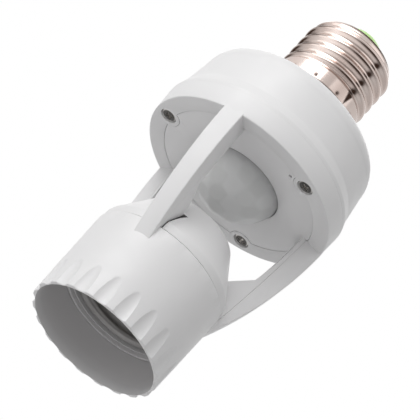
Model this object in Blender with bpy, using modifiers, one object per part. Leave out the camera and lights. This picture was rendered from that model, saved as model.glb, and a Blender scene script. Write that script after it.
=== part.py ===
"""Motion sensor lamp holder: a screw cap, a round sensor housing and a lamp socket on three legs.

The lamp's axis is +Z with the screw cap up. The origin is the centre of the socket's mouth.
Lengths are metres: a size in millimetres is written times MM.
"""

import math

import bmesh
import bpy
from mathutils import Matrix, Vector

MM = 0.001
FIT = 0.3 * MM
SHARP_ANGLE = math.radians(32)
SEGMENTS = 42
THREAD_SEGMENTS = 20
SMALL_TURN_SEGMENTS = 20
SMALL_SEGMENTS = 14
SCREW_SEGMENTS = 12

# Lamp socket: threaded shell, insulating base and sprung contact
SHELL_RADIUS = 13.2 * MM
SHELL_THREAD_DEPTH = 0.9 * MM
SHELL_LIP_FLARE = 0.9 * MM
SHELL_SET_BACK = 1.4 * MM
SHELL_FLANGE_BORE = 6.5 * MM
SHELL_ROWS = 10
BASE_THICKNESS = 3.5 * MM
BASE_SKIRT_WALL = 0.8 * MM
BASE_SKIRT_DEPTH = 4.0 * MM
SOCKET_SCREW_HEAD_RADIUS = 2.4 * MM
SOCKET_SCREW_HEAD_HEIGHT = 1.4 * MM
LEAF_THICKNESS = 0.4 * MM
LEAF_WIDTH = 4.6 * MM
LEAF_FOOT = -4.6 * MM
LEAF_BEND = -1.8 * MM
LEAF_END = 2.2 * MM
LEAF_DROP = 2.6 * MM
BUTTON_RADIUS = 2.6 * MM
BUTTON_SIDE = 0.95 * MM
BUTTON_TAPER = 0.75 * MM
BUTTON_TIP = 0.2 * MM
RIVET_RADIUS = 0.7 * MM
RIVET_HEAD_RADIUS = 1.5 * MM
RIVET_HEAD_HEIGHT = 0.5 * MM
RIVET_FROM_FOOT = 1.2 * MM

# Barrel with its fluted mouth
LIP_CLEARANCE = 1.1 * MM
LEDGE_WIDTH = 2.1 * MM
LEDGE_HEIGHT = 10.6 * MM
SKIRT_TAPER = 0.95 * MM
MOUTH_WALL = 1.15 * MM
BARREL_TAPER = 0.5 * MM
BARREL_HEIGHT = 26.2 * MM
FLUTES = 20
FLUTE_HEIGHT = 8.5 * MM
FLUTE_DEPTH = 0.75 * MM
FLUTE_RADIUS = 3.5 * MM
FLUTE_START = math.radians(10.4)
FLUTE_SIDES = 16
FLUTE_RINGS = 11

# Dome over the back of the socket
COLLAR_INSET = 0.4 * MM
COLLAR_HEIGHT = 2.6 * MM
DOME_SLOPE_INSET = 4.8 * MM
DOME_SLOPE_HEIGHT = 8.1 * MM
DOME_CROWN_INSET = 3.0 * MM
DOME_CROWN_HEIGHT = 4.9 * MM
DOME_TOP_EDGE = 0.6 * MM
DOME_WALL = 1.7 * MM

# Sensor housing: ring, flange and cover
RING_ABOVE_DOME = 19.2 * MM
RING_HEIGHT = 5.9 * MM
RING_RADIUS = 28.85 * MM
RING_TAPER = 0.35 * MM
RING_WALL = 1.3 * MM
RING_EDGE = 0.25 * MM
FLANGE_THICKNESS = 2.2 * MM
FLANGE_WIDTH = 4.8 * MM
COVER_LIP_OVERHANG = 0.1 * MM
COVER_LIP_HEIGHT = 0.9 * MM
COVER_CREASE_INSET = 1.0 * MM
COVER_CREASE_RISE = 3.8 * MM
COVER_SIDE_INSET = 1.2 * MM
COVER_SIDE_HEIGHT = 9.8 * MM
COVER_ROUNDING = 5.1 * MM
COVER_WALL = 1.8 * MM
SPIGOT_WALL = 1.4 * MM
SPIGOT_DEPTH = 2.1 * MM
ROUNDING_STEPS = 4

# Legs between the ring and the barrel
LEGS = 3
FIRST_LEG = math.radians(-90)
LEG_TOP_WIDTH = 5.8 * MM
LEG_FOOT_WIDTH = 4.8 * MM
LEG_FOOT_DEPTH = 5.9 * MM
LEG_BULGE = 1.9 * MM
LEG_STEPS = 7
LEG_SIDE_WALL = 1.2 * MM
LEG_FACE_WALL = 1.4 * MM
SEAM_FOOT_GAP = 0.5 * MM
SEAM_BULGE = 0.35 * MM
STRIP_TOP_THICKNESS = 0.8 * MM
STRIP_FOOT_THICKNESS = 1.36 * MM
STRIP_BULGE = 0.4 * MM
WEB_ABOVE_DOME = 0.7 * MM
WEB_GAP = 0.7 * MM
WEB_JOINT_DEPTH = 1.9 * MM
CHANNEL_FLOOR_RISE = 0.7 * MM

# Plate in the flange, with its ears and its small light hole
PLATE_RECESS = 0.15 * MM
PLATE_THICKNESS = 1.6 * MM
PLATE_RIM_WALL = 1.0 * MM
PLATE_LIP_THICKNESS = 1.0 * MM
EAR_RADIUS = 3.45 * MM
EAR_FROM_EDGE = 0.05 * MM
LIGHT_HOLE_RADIUS = 0.5 * MM
LIGHT_HOLE_INSET = 1.3 * MM
LIGHT_HOLE_ANGLE = math.radians(-39.5)
POST_RADIUS = 1.5 * MM

# Housing screws
SCREWS = 3
FIRST_SCREW = math.radians(-30)
SCREW_SHANK_RADIUS = 0.95 * MM
SCREW_HEAD_RADIUS = 2.05 * MM
SCREW_HEAD_HEIGHT = 1.0 * MM
SCREW_SINK = 0.2 * MM
SCREW_LENGTH = 10.0 * MM
COUNTERBORE_RADIUS = 2.4 * MM
SLOT_LENGTH = 2.4 * MM
SLOT_WIDTH = 0.5 * MM
SLOT_DEPTH = 0.5 * MM
BOSS_RADIUS = 2.2 * MM

# Screw cap
NECK_WALL = 1.85 * MM
NECK_BELOW_THREAD = 0.7 * MM
SHEET = 0.4 * MM
SKIRT_STEP = 0.35 * MM
SKIRT_HEIGHT = 11.7 * MM
THREAD_RADIUS = 12.6 * MM
THREAD_DEPTH = 1.0 * MM
THREAD_PITCH = 3.629 * MM
THREAD_LENGTH = 14.7 * MM
THREAD_RUN_OUT = 1.3 * MM
THREAD_ROWS = 16
CREST_ANGLE = math.radians(-148)
CAP_END_RISE = 2.3 * MM
CAP_END_WIDTH = 2.7 * MM
INSULATOR_CLEARANCE = 0.4 * MM
INSULATOR_FLANGE_OVERLAP = 0.8 * MM
INSULATOR_FLANGE_HEIGHT = 1.8 * MM
INSULATOR_STEP = 0.7 * MM
INSULATOR_HEIGHT = 4.0 * MM
INSULATOR_TIP_WALL = 2.2 * MM
INSULATOR_BULGE = 0.35 * MM
CONTACT_RADIUS = 4.7 * MM
CONTACT_RISE = 1.0 * MM
CONTACT_THICKNESS = 2.4 * MM

# Sensor lens, detector and circuit board; places on the board are shares of its radius
LENS_RADIUS = 12.75 * MM
LENS_WALL = 0.8 * MM
LENS_FLANGE_WIDTH = 1.85 * MM
LENS_FLANGE_THICKNESS = 0.8 * MM
LENS_STEPS = 6
LENS_SEGMENTS = 26
RETAINER_WALL = 1.4 * MM
RETAINER_HEIGHT = 2.0 * MM
BOARD_CLEARANCE = 1.25 * MM
BOARD_THICKNESS = 1.6 * MM
DETECTOR_RADIUS = 4.15 * MM
DETECTOR_BRIM = 0.45 * MM
DETECTOR_HEIGHT = 3.6 * MM
LIGHT_SENSOR_RADIUS = 0.7 * MM
RELAY_LENGTH = 15.0 * MM
RELAY_WIDTH = 12.0 * MM
RELAY_HEIGHT = 11.0 * MM
RELAY_PLACE = (-0.40, -0.04)
FILM_CAPACITOR_LENGTH = 13.0 * MM
FILM_CAPACITOR_WIDTH = 5.5 * MM
FILM_CAPACITOR_HEIGHT = 10.0 * MM
FILM_CAPACITOR_PLACE = (0.39, 0.45)
CHIP_LENGTH = 9.0 * MM
CHIP_WIDTH = 6.0 * MM
CHIP_HEIGHT = 2.6 * MM
CHIP_PLACE = (-0.33, 0.47)
ELECTROLYTIC_RADIUS = 4.0 * MM
ELECTROLYTIC_HEIGHT = 10.5 * MM
ELECTROLYTIC_PLACE = (0.33, -0.45)
RESISTOR_RADIUS = 1.8 * MM
RESISTOR_LENGTH = 9.0 * MM
RESISTOR_PLACE = (0.51, -0.04)
DIODE_RADIUS = 1.3 * MM
DIODE_LENGTH = 5.0 * MM
DIODE_PLACE = (-0.16, -0.69)

# Wires
WIRE_RADIUS = 0.6 * MM
WIRE_PORT_RADIUS = 1.0 * MM
WIRE_PORT_RISE = 1.4 * MM
LEAD_RISE = 8.0 * MM
LEAD_BELOW_NECK = 3.0 * MM
LEG_LEAD_RISE = 4.0 * MM
LIVE_LEAD_FROM_RELAY = 1.3 * MM
NEUTRAL_LEAD_PLACE = (0.12, 0.16)

# Radii that follow from the sizes above, from the socket outwards
SHELL_LIP_RADIUS = SHELL_RADIUS + SHELL_LIP_FLARE
BARREL_BORE = SHELL_LIP_RADIUS + LIP_CLEARANCE
SKIRT_BORE = BARREL_BORE + LEDGE_WIDTH
MOUTH_BORE = SKIRT_BORE + SKIRT_TAPER
MOUTH_RADIUS = MOUTH_BORE + MOUTH_WALL
BARREL_RADIUS = MOUTH_RADIUS + BARREL_TAPER
COLLAR_RADIUS = BARREL_RADIUS - COLLAR_INSET
DOME_WAIST_RADIUS = COLLAR_RADIUS - DOME_SLOPE_INSET
DOME_TOP_RADIUS = DOME_WAIST_RADIUS - DOME_CROWN_INSET
SEAM_FOOT_RADIUS = COLLAR_RADIUS + SEAM_FOOT_GAP
SOCKET_SCREW_FROM_AXIS = (SHELL_FLANGE_BORE + SHELL_RADIUS) / 2
RIVET_FROM_AXIS = LEAF_FOOT + RIVET_FROM_FOOT

# Radii of the sensor housing, from the ring inwards
RING_FOOT_RADIUS = RING_RADIUS - RING_TAPER
FLANGE_BORE = RING_FOOT_RADIUS - FLANGE_WIDTH
COVER_LIP_RADIUS = RING_RADIUS + COVER_LIP_OVERHANG
COVER_CREASE_RADIUS = COVER_LIP_RADIUS - COVER_CREASE_INSET
COVER_SHOULDER_RADIUS = COVER_CREASE_RADIUS - COVER_SIDE_INSET
SPIGOT_RADIUS = RING_RADIUS - RING_WALL - FIT
SPIGOT_BORE = SPIGOT_RADIUS - SPIGOT_WALL
BOARD_RADIUS = SPIGOT_BORE - BOARD_CLEARANCE
PLATE_LIP_RADIUS = SPIGOT_BORE - FIT
PLATE_RADIUS = FLANGE_BORE - FIT
SEAM_TOP_RADIUS = PLATE_RADIUS - FIT
LIGHT_HOLE_FROM_AXIS = PLATE_RADIUS - LIGHT_HOLE_INSET
SCREW_CIRCLE = RING_FOOT_RADIUS - RING_EDGE - EAR_FROM_EDGE - EAR_RADIUS
SCREW_HOLE_RADIUS = SCREW_SHANK_RADIUS + FIT
LENS_FLANGE_RADIUS = LENS_RADIUS + LENS_FLANGE_WIDTH
RETAINER_BORE = LENS_FLANGE_RADIUS - RETAINER_WALL
POST_FROM_AXIS = (PLATE_RADIUS + LENS_FLANGE_RADIUS) / 2
DETECTOR_BRIM_RADIUS = DETECTOR_RADIUS + DETECTOR_BRIM

# Radii of the screw cap
SKIRT_RADIUS = THREAD_RADIUS + SKIRT_STEP
NECK_RADIUS = SKIRT_RADIUS - SHEET - FIT
NECK_BORE = NECK_RADIUS - NECK_WALL
CAP_END_BORE = THREAD_RADIUS - CAP_END_WIDTH
INSULATOR_RADIUS = CAP_END_BORE - INSULATOR_CLEARANCE
INSULATOR_FLANGE_RADIUS = CAP_END_BORE + INSULATOR_FLANGE_OVERLAP
INSULATOR_TIP_RADIUS = CONTACT_RADIUS + INSULATOR_TIP_WALL

# Heights, from the mouth up to the cap
SHELL_BOTTOM = LEDGE_HEIGHT + SHELL_SET_BACK
LEG_FOOT_HEIGHT = BARREL_HEIGHT - LEG_FOOT_DEPTH
BASE_BOTTOM = BARREL_HEIGHT + FIT
BASE_TOP = BASE_BOTTOM + BASE_THICKNESS
SHELL_TOP = BASE_BOTTOM - FIT
LEAF_FOOT_TOP = BASE_BOTTOM - FIT
LEAF_TIP_TOP = LEAF_FOOT_TOP - LEAF_DROP
BUTTON_TOP = LEAF_TIP_TOP - LEAF_THICKNESS - FIT
WIRE_PORT_HEIGHT = BASE_TOP + WIRE_PORT_RISE
COLLAR_TOP = BARREL_HEIGHT + COLLAR_HEIGHT
CHANNEL_FLOOR = COLLAR_TOP + CHANNEL_FLOOR_RISE
DOME_WAIST_HEIGHT = COLLAR_TOP + DOME_SLOPE_HEIGHT
DOME_TOP = DOME_WAIST_HEIGHT + DOME_CROWN_HEIGHT
STRIP_FOOT_HEIGHT = DOME_TOP + WEB_ABOVE_DOME
RING_BOTTOM = DOME_TOP + RING_ABOVE_DOME
RING_TOP = RING_BOTTOM + RING_HEIGHT
FLANGE_TOP = RING_BOTTOM + FLANGE_THICKNESS
PLATE_BOTTOM = RING_BOTTOM + PLATE_RECESS
PLATE_TOP = PLATE_BOTTOM + PLATE_THICKNESS
PLATE_LIP_BOTTOM = FLANGE_TOP + FIT
PLATE_LIP_TOP = PLATE_LIP_BOTTOM + PLATE_LIP_THICKNESS
LENS_CENTRE = PLATE_TOP + FIT + LENS_FLANGE_THICKNESS
RETAINER_BOTTOM = LENS_CENTRE + FIT
BOARD_BOTTOM = RETAINER_BOTTOM + RETAINER_HEIGHT + FIT
BOARD_TOP = BOARD_BOTTOM + BOARD_THICKNESS
COVER_BOTTOM = RING_TOP + FIT
COVER_CREASE_HEIGHT = COVER_BOTTOM + COVER_CREASE_RISE
COVER_SHOULDER_HEIGHT = COVER_CREASE_HEIGHT + COVER_SIDE_HEIGHT
COVER_TOP = COVER_SHOULDER_HEIGHT + COVER_ROUNDING
BOSS_TOP = COVER_SHOULDER_HEIGHT - COVER_WALL
THREAD_BOTTOM = COVER_TOP + SKIRT_HEIGHT
THREAD_TOP = THREAD_BOTTOM + THREAD_LENGTH
CREST_HEIGHT = THREAD_BOTTOM + THREAD_RUN_OUT
NECK_TOP = THREAD_BOTTOM - NECK_BELOW_THREAD
CAP_END_HEIGHT = THREAD_TOP + CAP_END_RISE
INSULATOR_FLANGE_TOP = CAP_END_HEIGHT - SHEET - FIT
INSULATOR_TIP_HEIGHT = CAP_END_HEIGHT + INSULATOR_HEIGHT
CONTACT_TOP = INSULATOR_TIP_HEIGHT + CONTACT_RISE
CONTACT_BOTTOM = CONTACT_TOP - CONTACT_THICKNESS

PLASTIC_WHITE = (0.83, 0.82, 0.82, 1.0)
PLASTIC_GREY = (0.74, 0.74, 0.73, 1.0)
NICKEL = (0.80, 0.72, 0.68, 1.0)


def clear_scene():
    """Removes every object that the file starts with."""
    for obj in list(bpy.data.objects):
        bpy.data.objects.remove(obj, do_unlink=True)


def new_collection(name):
    collection = bpy.data.collections.new(name)
    bpy.context.scene.collection.children.link(collection)
    return collection


def surface(name, colour, roughness, metallic=0.0, transmission=0.0):
    """A plain surface: its colour, how rough it is, and whether it is metal."""
    material = bpy.data.materials.new(name)
    material.use_nodes = True
    shader = material.node_tree.nodes["Principled BSDF"]
    shader.inputs["Base Color"].default_value = colour
    shader.inputs["Roughness"].default_value = roughness
    shader.inputs["Metallic"].default_value = metallic
    shader.inputs["Transmission Weight"].default_value = transmission
    material.diffuse_color = colour
    return material


def place(obj, material=None):
    """Puts a piece in the object's collection, or a cutter in the cutters' collection."""
    if material is None:
        CUTTERS.objects.link(obj)
        obj.display_type = "WIRE"
        obj.hide_render = True
    else:
        PARTS.objects.link(obj)
        obj.data.materials.append(material)
    return obj


def bake(obj):
    """The object's mesh as its modifiers leave it."""
    bpy.context.view_layer.update()
    graph = bpy.context.evaluated_depsgraph_get()
    return bpy.data.meshes.new_from_object(obj.evaluated_get(graph))


def settle(obj):
    """Turns a piece's modifiers into its mesh and shades its round faces smooth."""
    mesh = bake(obj)
    mesh.name = obj.name
    obj.modifiers.clear()
    obj.data = mesh
    mesh.shade_smooth()
    mesh.set_sharp_from_angle(angle=SHARP_ANGLE)


def turned(name, profile, material=None, steps=SEGMENTS, closed=True):
    """A profile of (radius, height) points turned about Z.

    A closed profile is a ring's section. An open one starts and ends on the axis. Both run
    down their outer side.
    """
    mesh = bpy.data.meshes.new(name)
    points = [(radius, 0.0, height) for radius, height in profile]
    edges = [(i, i + 1) for i in range(len(points) - 1)]
    if closed:
        edges.append((len(points) - 1, 0))
    mesh.from_pydata(points, edges, [])
    obj = place(bpy.data.objects.new(name, mesh), material)
    screw = obj.modifiers.new("Turn", "SCREW")
    screw.steps = steps
    screw.render_steps = steps
    screw.use_merge_vertices = True
    screw.merge_threshold = 0.00001
    return obj


def solid(name, build, material=None):
    """A piece or cutter whose closed mesh the function build makes."""
    mesh = bpy.data.meshes.new(name)
    shape = bmesh.new()
    build(shape)
    shape.to_mesh(mesh)
    shape.free()
    return place(bpy.data.objects.new(name, mesh), material)


def add_rod(shape, radius, length, matrix, sides=SMALL_SEGMENTS):
    """A cylinder along the local Z of the matrix, centred on its origin."""
    bmesh.ops.create_cone(
        shape,
        cap_ends=True,
        segments=sides,
        radius1=radius,
        radius2=radius,
        depth=length,
        matrix=matrix,
    )


def upright(x, y, bottom, top):
    """The matrix that centres an upright rod between two heights."""
    return Matrix.Translation((x, y, (bottom + top) / 2))


def rod(name, radius, bottom, top, material=None, centre=(0.0, 0.0), sides=SMALL_SEGMENTS):
    """An upright cylinder between two heights."""

    def build(shape):
        add_rod(shape, radius, top - bottom, upright(*centre, bottom, top), sides)

    return solid(name, build, material)


def rod_pattern(name, radius, bottom, top, centres, material=None, sides=SMALL_SEGMENTS):
    """Upright cylinders of one size at several places, as one mesh."""

    def build(shape):
        for x, y in centres:
            add_rod(shape, radius, top - bottom, upright(x, y, bottom, top), sides)

    return solid(name, build, material)


def block(name, size, centre, bottom, material, bevel):
    """A box with rounded edges that stands at a height."""

    def build(shape):
        middle = upright(*centre, bottom, bottom + size[2])
        bmesh.ops.create_cube(shape, size=1.0, matrix=middle @ Matrix.Diagonal((*size, 1.0)))

    obj = solid(name, build, material)
    rounding = obj.modifiers.new("Round edges", "BEVEL")
    rounding.width = bevel
    rounding.segments = 2
    return obj


def side_outline(name, points, width, angle, material=None):
    """A flat outline of (radius, height) points in the plane of one angle, given a width."""
    curve = bpy.data.curves.new(name, "CURVE")
    curve.dimensions = "2D"
    curve.fill_mode = "BOTH"
    curve.extrude = width / 2
    spline = curve.splines.new("POLY")
    spline.points.add(len(points) - 1)
    for point, (radius, height) in zip(spline.points, points):
        point.co = (radius, height, 0.0, 1.0)
    spline.use_cyclic_u = True
    guide = bpy.data.objects.new(name, curve)
    CUTTERS.objects.link(guide)
    mesh = weld(bake(guide))
    mesh.name = name
    bpy.data.objects.remove(guide, do_unlink=True)
    obj = place(bpy.data.objects.new(name, mesh), material)
    obj.rotation_euler = (math.pi / 2, 0.0, angle)
    return obj


def weld(mesh):
    """Joins the loose caps of a mesh made from a curve."""
    shape = bmesh.new()
    shape.from_mesh(mesh)
    bmesh.ops.remove_doubles(shape, verts=shape.verts, dist=0.000001)
    bmesh.ops.recalc_face_normals(shape, faces=shape.faces)
    shape.to_mesh(mesh)
    shape.free()
    return mesh


def wire(name, route, radius, material):
    """A round wire along a smooth path through the route's points."""
    points = [Vector(p) for p in route]
    curve = bpy.data.curves.new(name, "CURVE")
    curve.dimensions = "3D"
    curve.bevel_depth = radius
    curve.bevel_resolution = 2
    curve.use_fill_caps = True
    spline = curve.splines.new("POLY")
    spline.points.add(len(points) - 1)
    for point, place_on_route in zip(spline.points, points):
        point.co = (*place_on_route, 1.0)
    guide = bpy.data.objects.new(name, curve)
    CUTTERS.objects.link(guide)
    mesh = weld(bake(guide))
    mesh.name = name
    bpy.data.objects.remove(guide, do_unlink=True)
    return place(bpy.data.objects.new(name, mesh), material)


def combine(target, operand, operation):
    """Adds a cut or a join to the target's modifiers."""
    if operand.name not in CUTTERS.objects:
        CUTTERS.objects.link(operand)
    step = target.modifiers.new(operand.name, "BOOLEAN")
    step.operation = operation
    step.solver = "EXACT"
    step.object = operand
    return target


def cut(target, *operands):
    for operand in operands:
        combine(target, operand, "DIFFERENCE")
    return target


def join(target, *operands):
    for operand in operands:
        combine(target, operand, "UNION")
    return target


def blend(start, end, share):
    return start + (end - start) * share


def quarter_round(centre_radius, centre_height, size, steps=ROUNDING_STEPS):
    """Points of a rounding from its top to its side, outer side of a turned profile."""
    points = []
    for i in range(steps + 1):
        angle = math.pi / 2 * (1 - i / steps)
        radius = centre_radius + size * math.cos(angle)
        height = centre_height + size * math.sin(angle)
        points.append((radius, height))
    return points


def around(count, first, radius):
    """Angles of a ring of equal pieces, with the place of each."""
    places = []
    for i in range(count):
        angle = first + 2 * math.pi * i / count
        places.append((angle, (radius * math.cos(angle), radius * math.sin(angle))))
    return places


def arc_between(top, foot, bulge, height):
    """Radius at a height on a curve that bows outwards between two (radius, height) points."""
    share = (height - foot[1]) / (top[1] - foot[1])
    return blend(foot[0], top[0], share) + bulge * 4 * share * (1 - share)


def leg_face(height):
    """Radius of a leg's outer face."""
    top = (RING_FOOT_RADIUS, RING_BOTTOM)
    foot_wall = blend(MOUTH_RADIUS, BARREL_RADIUS, LEG_FOOT_HEIGHT / BARREL_HEIGHT)
    foot = (foot_wall - RING_EDGE, LEG_FOOT_HEIGHT)
    return arc_between(top, foot, LEG_BULGE, height)


def leg_seam(height):
    """Radius of the seam between a leg's channel and the strip that closes it."""
    top = (SEAM_TOP_RADIUS, RING_BOTTOM)
    return arc_between(top, (SEAM_FOOT_RADIUS, COLLAR_TOP), SEAM_BULGE, height)


def strip_face(height):
    """Radius of the inner face of a leg's strip."""
    top = (SEAM_TOP_RADIUS - FIT - STRIP_TOP_THICKNESS, RING_BOTTOM)
    foot_radius = leg_seam(STRIP_FOOT_HEIGHT) - FIT - STRIP_FOOT_THICKNESS
    return arc_between(top, (foot_radius, STRIP_FOOT_HEIGHT), STRIP_BULGE, height)


def heights(top, bottom, steps=LEG_STEPS):
    return [blend(top, bottom, i / steps) for i in range(steps + 1)]


def narrow_to_foot(obj):
    """Tapers a leg piece in width from the ring down to the barrel."""
    for vertex in obj.data.vertices:
        share = (vertex.co.y - LEG_FOOT_HEIGHT) / (RING_BOTTOM - LEG_FOOT_HEIGHT)
        width = blend(LEG_FOOT_WIDTH, LEG_TOP_WIDTH, min(max(share, 0.0), 1.0))
        vertex.co.z *= width / LEG_TOP_WIDTH
    return obj


def leg_channel(number, angle):
    """The solid of one leg's outer channel, from inside the flange to inside the barrel wall."""
    inside_flange = RING_BOTTOM + FLANGE_THICKNESS / 2
    outer = [(RING_FOOT_RADIUS - RING_EDGE, inside_flange)]
    outer += [(leg_face(z), z) for z in heights(RING_BOTTOM - RING_EDGE, LEG_FOOT_HEIGHT)]
    wall_middle = (BARREL_RADIUS + BARREL_BORE) / 2
    inner = [
        (wall_middle, LEG_FOOT_HEIGHT),
        (wall_middle, BARREL_HEIGHT - FIT),
        (leg_seam(BARREL_HEIGHT), BARREL_HEIGHT - FIT),
    ]
    inner += [(leg_seam(z), z) for z in heights(COLLAR_TOP, RING_BOTTOM, LEG_STEPS // 2)]
    inner.append((SEAM_TOP_RADIUS, inside_flange))
    return narrow_to_foot(side_outline(f"leg_{number}_channel", outer + inner, LEG_TOP_WIDTH, angle))


def leg_hollow(number, angle):
    """The space inside one leg's channel, open towards the strip and up into the housing."""
    above_flange = FLANGE_TOP + FLANGE_THICKNESS
    levels = heights(RING_BOTTOM, CHANNEL_FLOOR)
    outer = [(leg_face(RING_BOTTOM) - LEG_FACE_WALL, above_flange)]
    outer += [(leg_face(z) - LEG_FACE_WALL, z) for z in levels]
    inner = [(leg_seam(z) - LEG_SIDE_WALL, z) for z in reversed(levels)]
    inner.append((SEAM_TOP_RADIUS - LEG_SIDE_WALL, above_flange))
    width = LEG_FOOT_WIDTH - 2 * LEG_SIDE_WALL
    return side_outline(f"leg_{number}_hollow", outer + inner, width, angle)


def leg_strip(number, angle):
    """The strip that closes one leg's channel, with the web that carries it into the dome."""
    in_plate = PLATE_BOTTOM + PLATE_THICKNESS / 2
    outer = [(SEAM_TOP_RADIUS - 3 * FIT, in_plate)]
    outer += [(leg_seam(z) - FIT, z) for z in heights(RING_BOTTOM, CHANNEL_FLOOR, LEG_STEPS // 2)]
    in_collar = (COLLAR_RADIUS - DOME_WALL / 2, COLLAR_TOP + FIT)
    waist_height = DOME_WAIST_HEIGHT - DOME_WALL / 2
    inner = [in_collar, (dome_radius(waist_height) - DOME_WALL / 2, waist_height)]
    levels = heights(STRIP_FOOT_HEIGHT, RING_BOTTOM, LEG_STEPS // 2)
    inner += [(strip_face(z), z) for z in levels]
    inner.append((strip_face(RING_BOTTOM), in_plate))
    return narrow_to_foot(side_outline(f"leg_{number}_strip", outer + inner, LEG_TOP_WIDTH, angle))


def dome_radius(height):
    """Outer radius of the dome's sloping side."""
    share = (height - COLLAR_TOP) / (DOME_WAIST_HEIGHT - COLLAR_TOP)
    return blend(COLLAR_RADIUS, DOME_WAIST_RADIUS, share)


def dome_bore(height):
    """Inner radius of the dome's sloping side."""
    top = DOME_WAIST_HEIGHT - DOME_WALL / 2
    bottom = COLLAR_TOP - FIT
    share = (height - bottom) / (top - bottom)
    return blend(COLLAR_RADIUS, DOME_WAIST_RADIUS, share) - DOME_WALL


def barrel():
    """The lamp socket's barrel, with a skirt, a ledge and a narrower bore behind it."""
    profile = [
        (BARREL_RADIUS, BARREL_HEIGHT),
        (MOUTH_RADIUS, 0.0),
        (MOUTH_BORE, 0.0),
        (SKIRT_BORE, LEDGE_HEIGHT),
        (BARREL_BORE, LEDGE_HEIGHT),
        (BARREL_BORE, BARREL_HEIGHT),
    ]
    return profile


def ring():
    """The housing's lower ring with its inward flange."""
    profile = [
        (RING_RADIUS - RING_EDGE, RING_TOP),
        (RING_RADIUS, RING_TOP - RING_EDGE),
        (RING_FOOT_RADIUS, RING_BOTTOM + RING_EDGE),
        (RING_FOOT_RADIUS - RING_EDGE, RING_BOTTOM),
        (FLANGE_BORE, RING_BOTTOM),
        (FLANGE_BORE, FLANGE_TOP),
        (RING_RADIUS - RING_WALL, FLANGE_TOP),
        (RING_RADIUS - RING_WALL, RING_TOP),
    ]
    return profile


def flute_cutter():
    """Long egg shapes that leave leaf-shaped hollows around the mouth, deepest at its edge."""
    out = MOUTH_RADIUS - FLUTE_DEPTH + FLUTE_RADIUS
    wall_at_tip = blend(MOUTH_RADIUS, BARREL_RADIUS, FLUTE_HEIGHT / BARREL_HEIGHT)
    narrowing = (out - wall_at_tip) / FLUTE_RADIUS
    half_length = FLUTE_HEIGHT / math.sqrt(1 - narrowing**2)
    size = Matrix.Diagonal((FLUTE_RADIUS, FLUTE_RADIUS, half_length, 1.0))

    def build(shape):
        for angle, _ in around(FLUTES, FLUTE_START, MOUTH_RADIUS):
            turn = Matrix.Rotation(angle, 4, "Z")
            bmesh.ops.create_uvsphere(
                shape,
                u_segments=FLUTE_SIDES,
                v_segments=FLUTE_RINGS,
                radius=1.0,
                matrix=turn @ Matrix.Translation((out, 0.0, 0.0)) @ size,
            )

    return solid("flute_cutter", build)


def make_cage(plastic):
    """Ring, flange with screw ears, three leg channels and the fluted barrel, one moulding."""
    cage = turned("cage_body", barrel(), plastic)
    screws = [centre for _, centre in around(SCREWS, FIRST_SCREW, SCREW_CIRCLE)]
    ring_solid = turned("flange_ring", ring())
    ears = rod_pattern("screw_ears", EAR_RADIUS, RING_BOTTOM, FLANGE_TOP, screws)
    join(ring_solid, ears)
    join(cage, ring_solid)
    legs = around(LEGS, FIRST_LEG, RING_FOOT_RADIUS)
    for number, (angle, _) in enumerate(legs, start=1):
        join(cage, leg_channel(number, angle))
    for number, (angle, _) in enumerate(legs, start=1):
        cut(cage, leg_hollow(number, angle))
    seat = RING_BOTTOM + SCREW_SINK + SCREW_HEAD_HEIGHT + FIT
    below = RING_BOTTOM - FIT
    above = FLANGE_TOP + FIT
    cut(cage, rod_pattern("counterbores", COUNTERBORE_RADIUS, below, seat, screws))
    cut(cage, rod_pattern("screw_holes", SCREW_HOLE_RADIUS, below, above, screws, sides=12))
    cut(cage, flute_cutter())
    return cage


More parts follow.
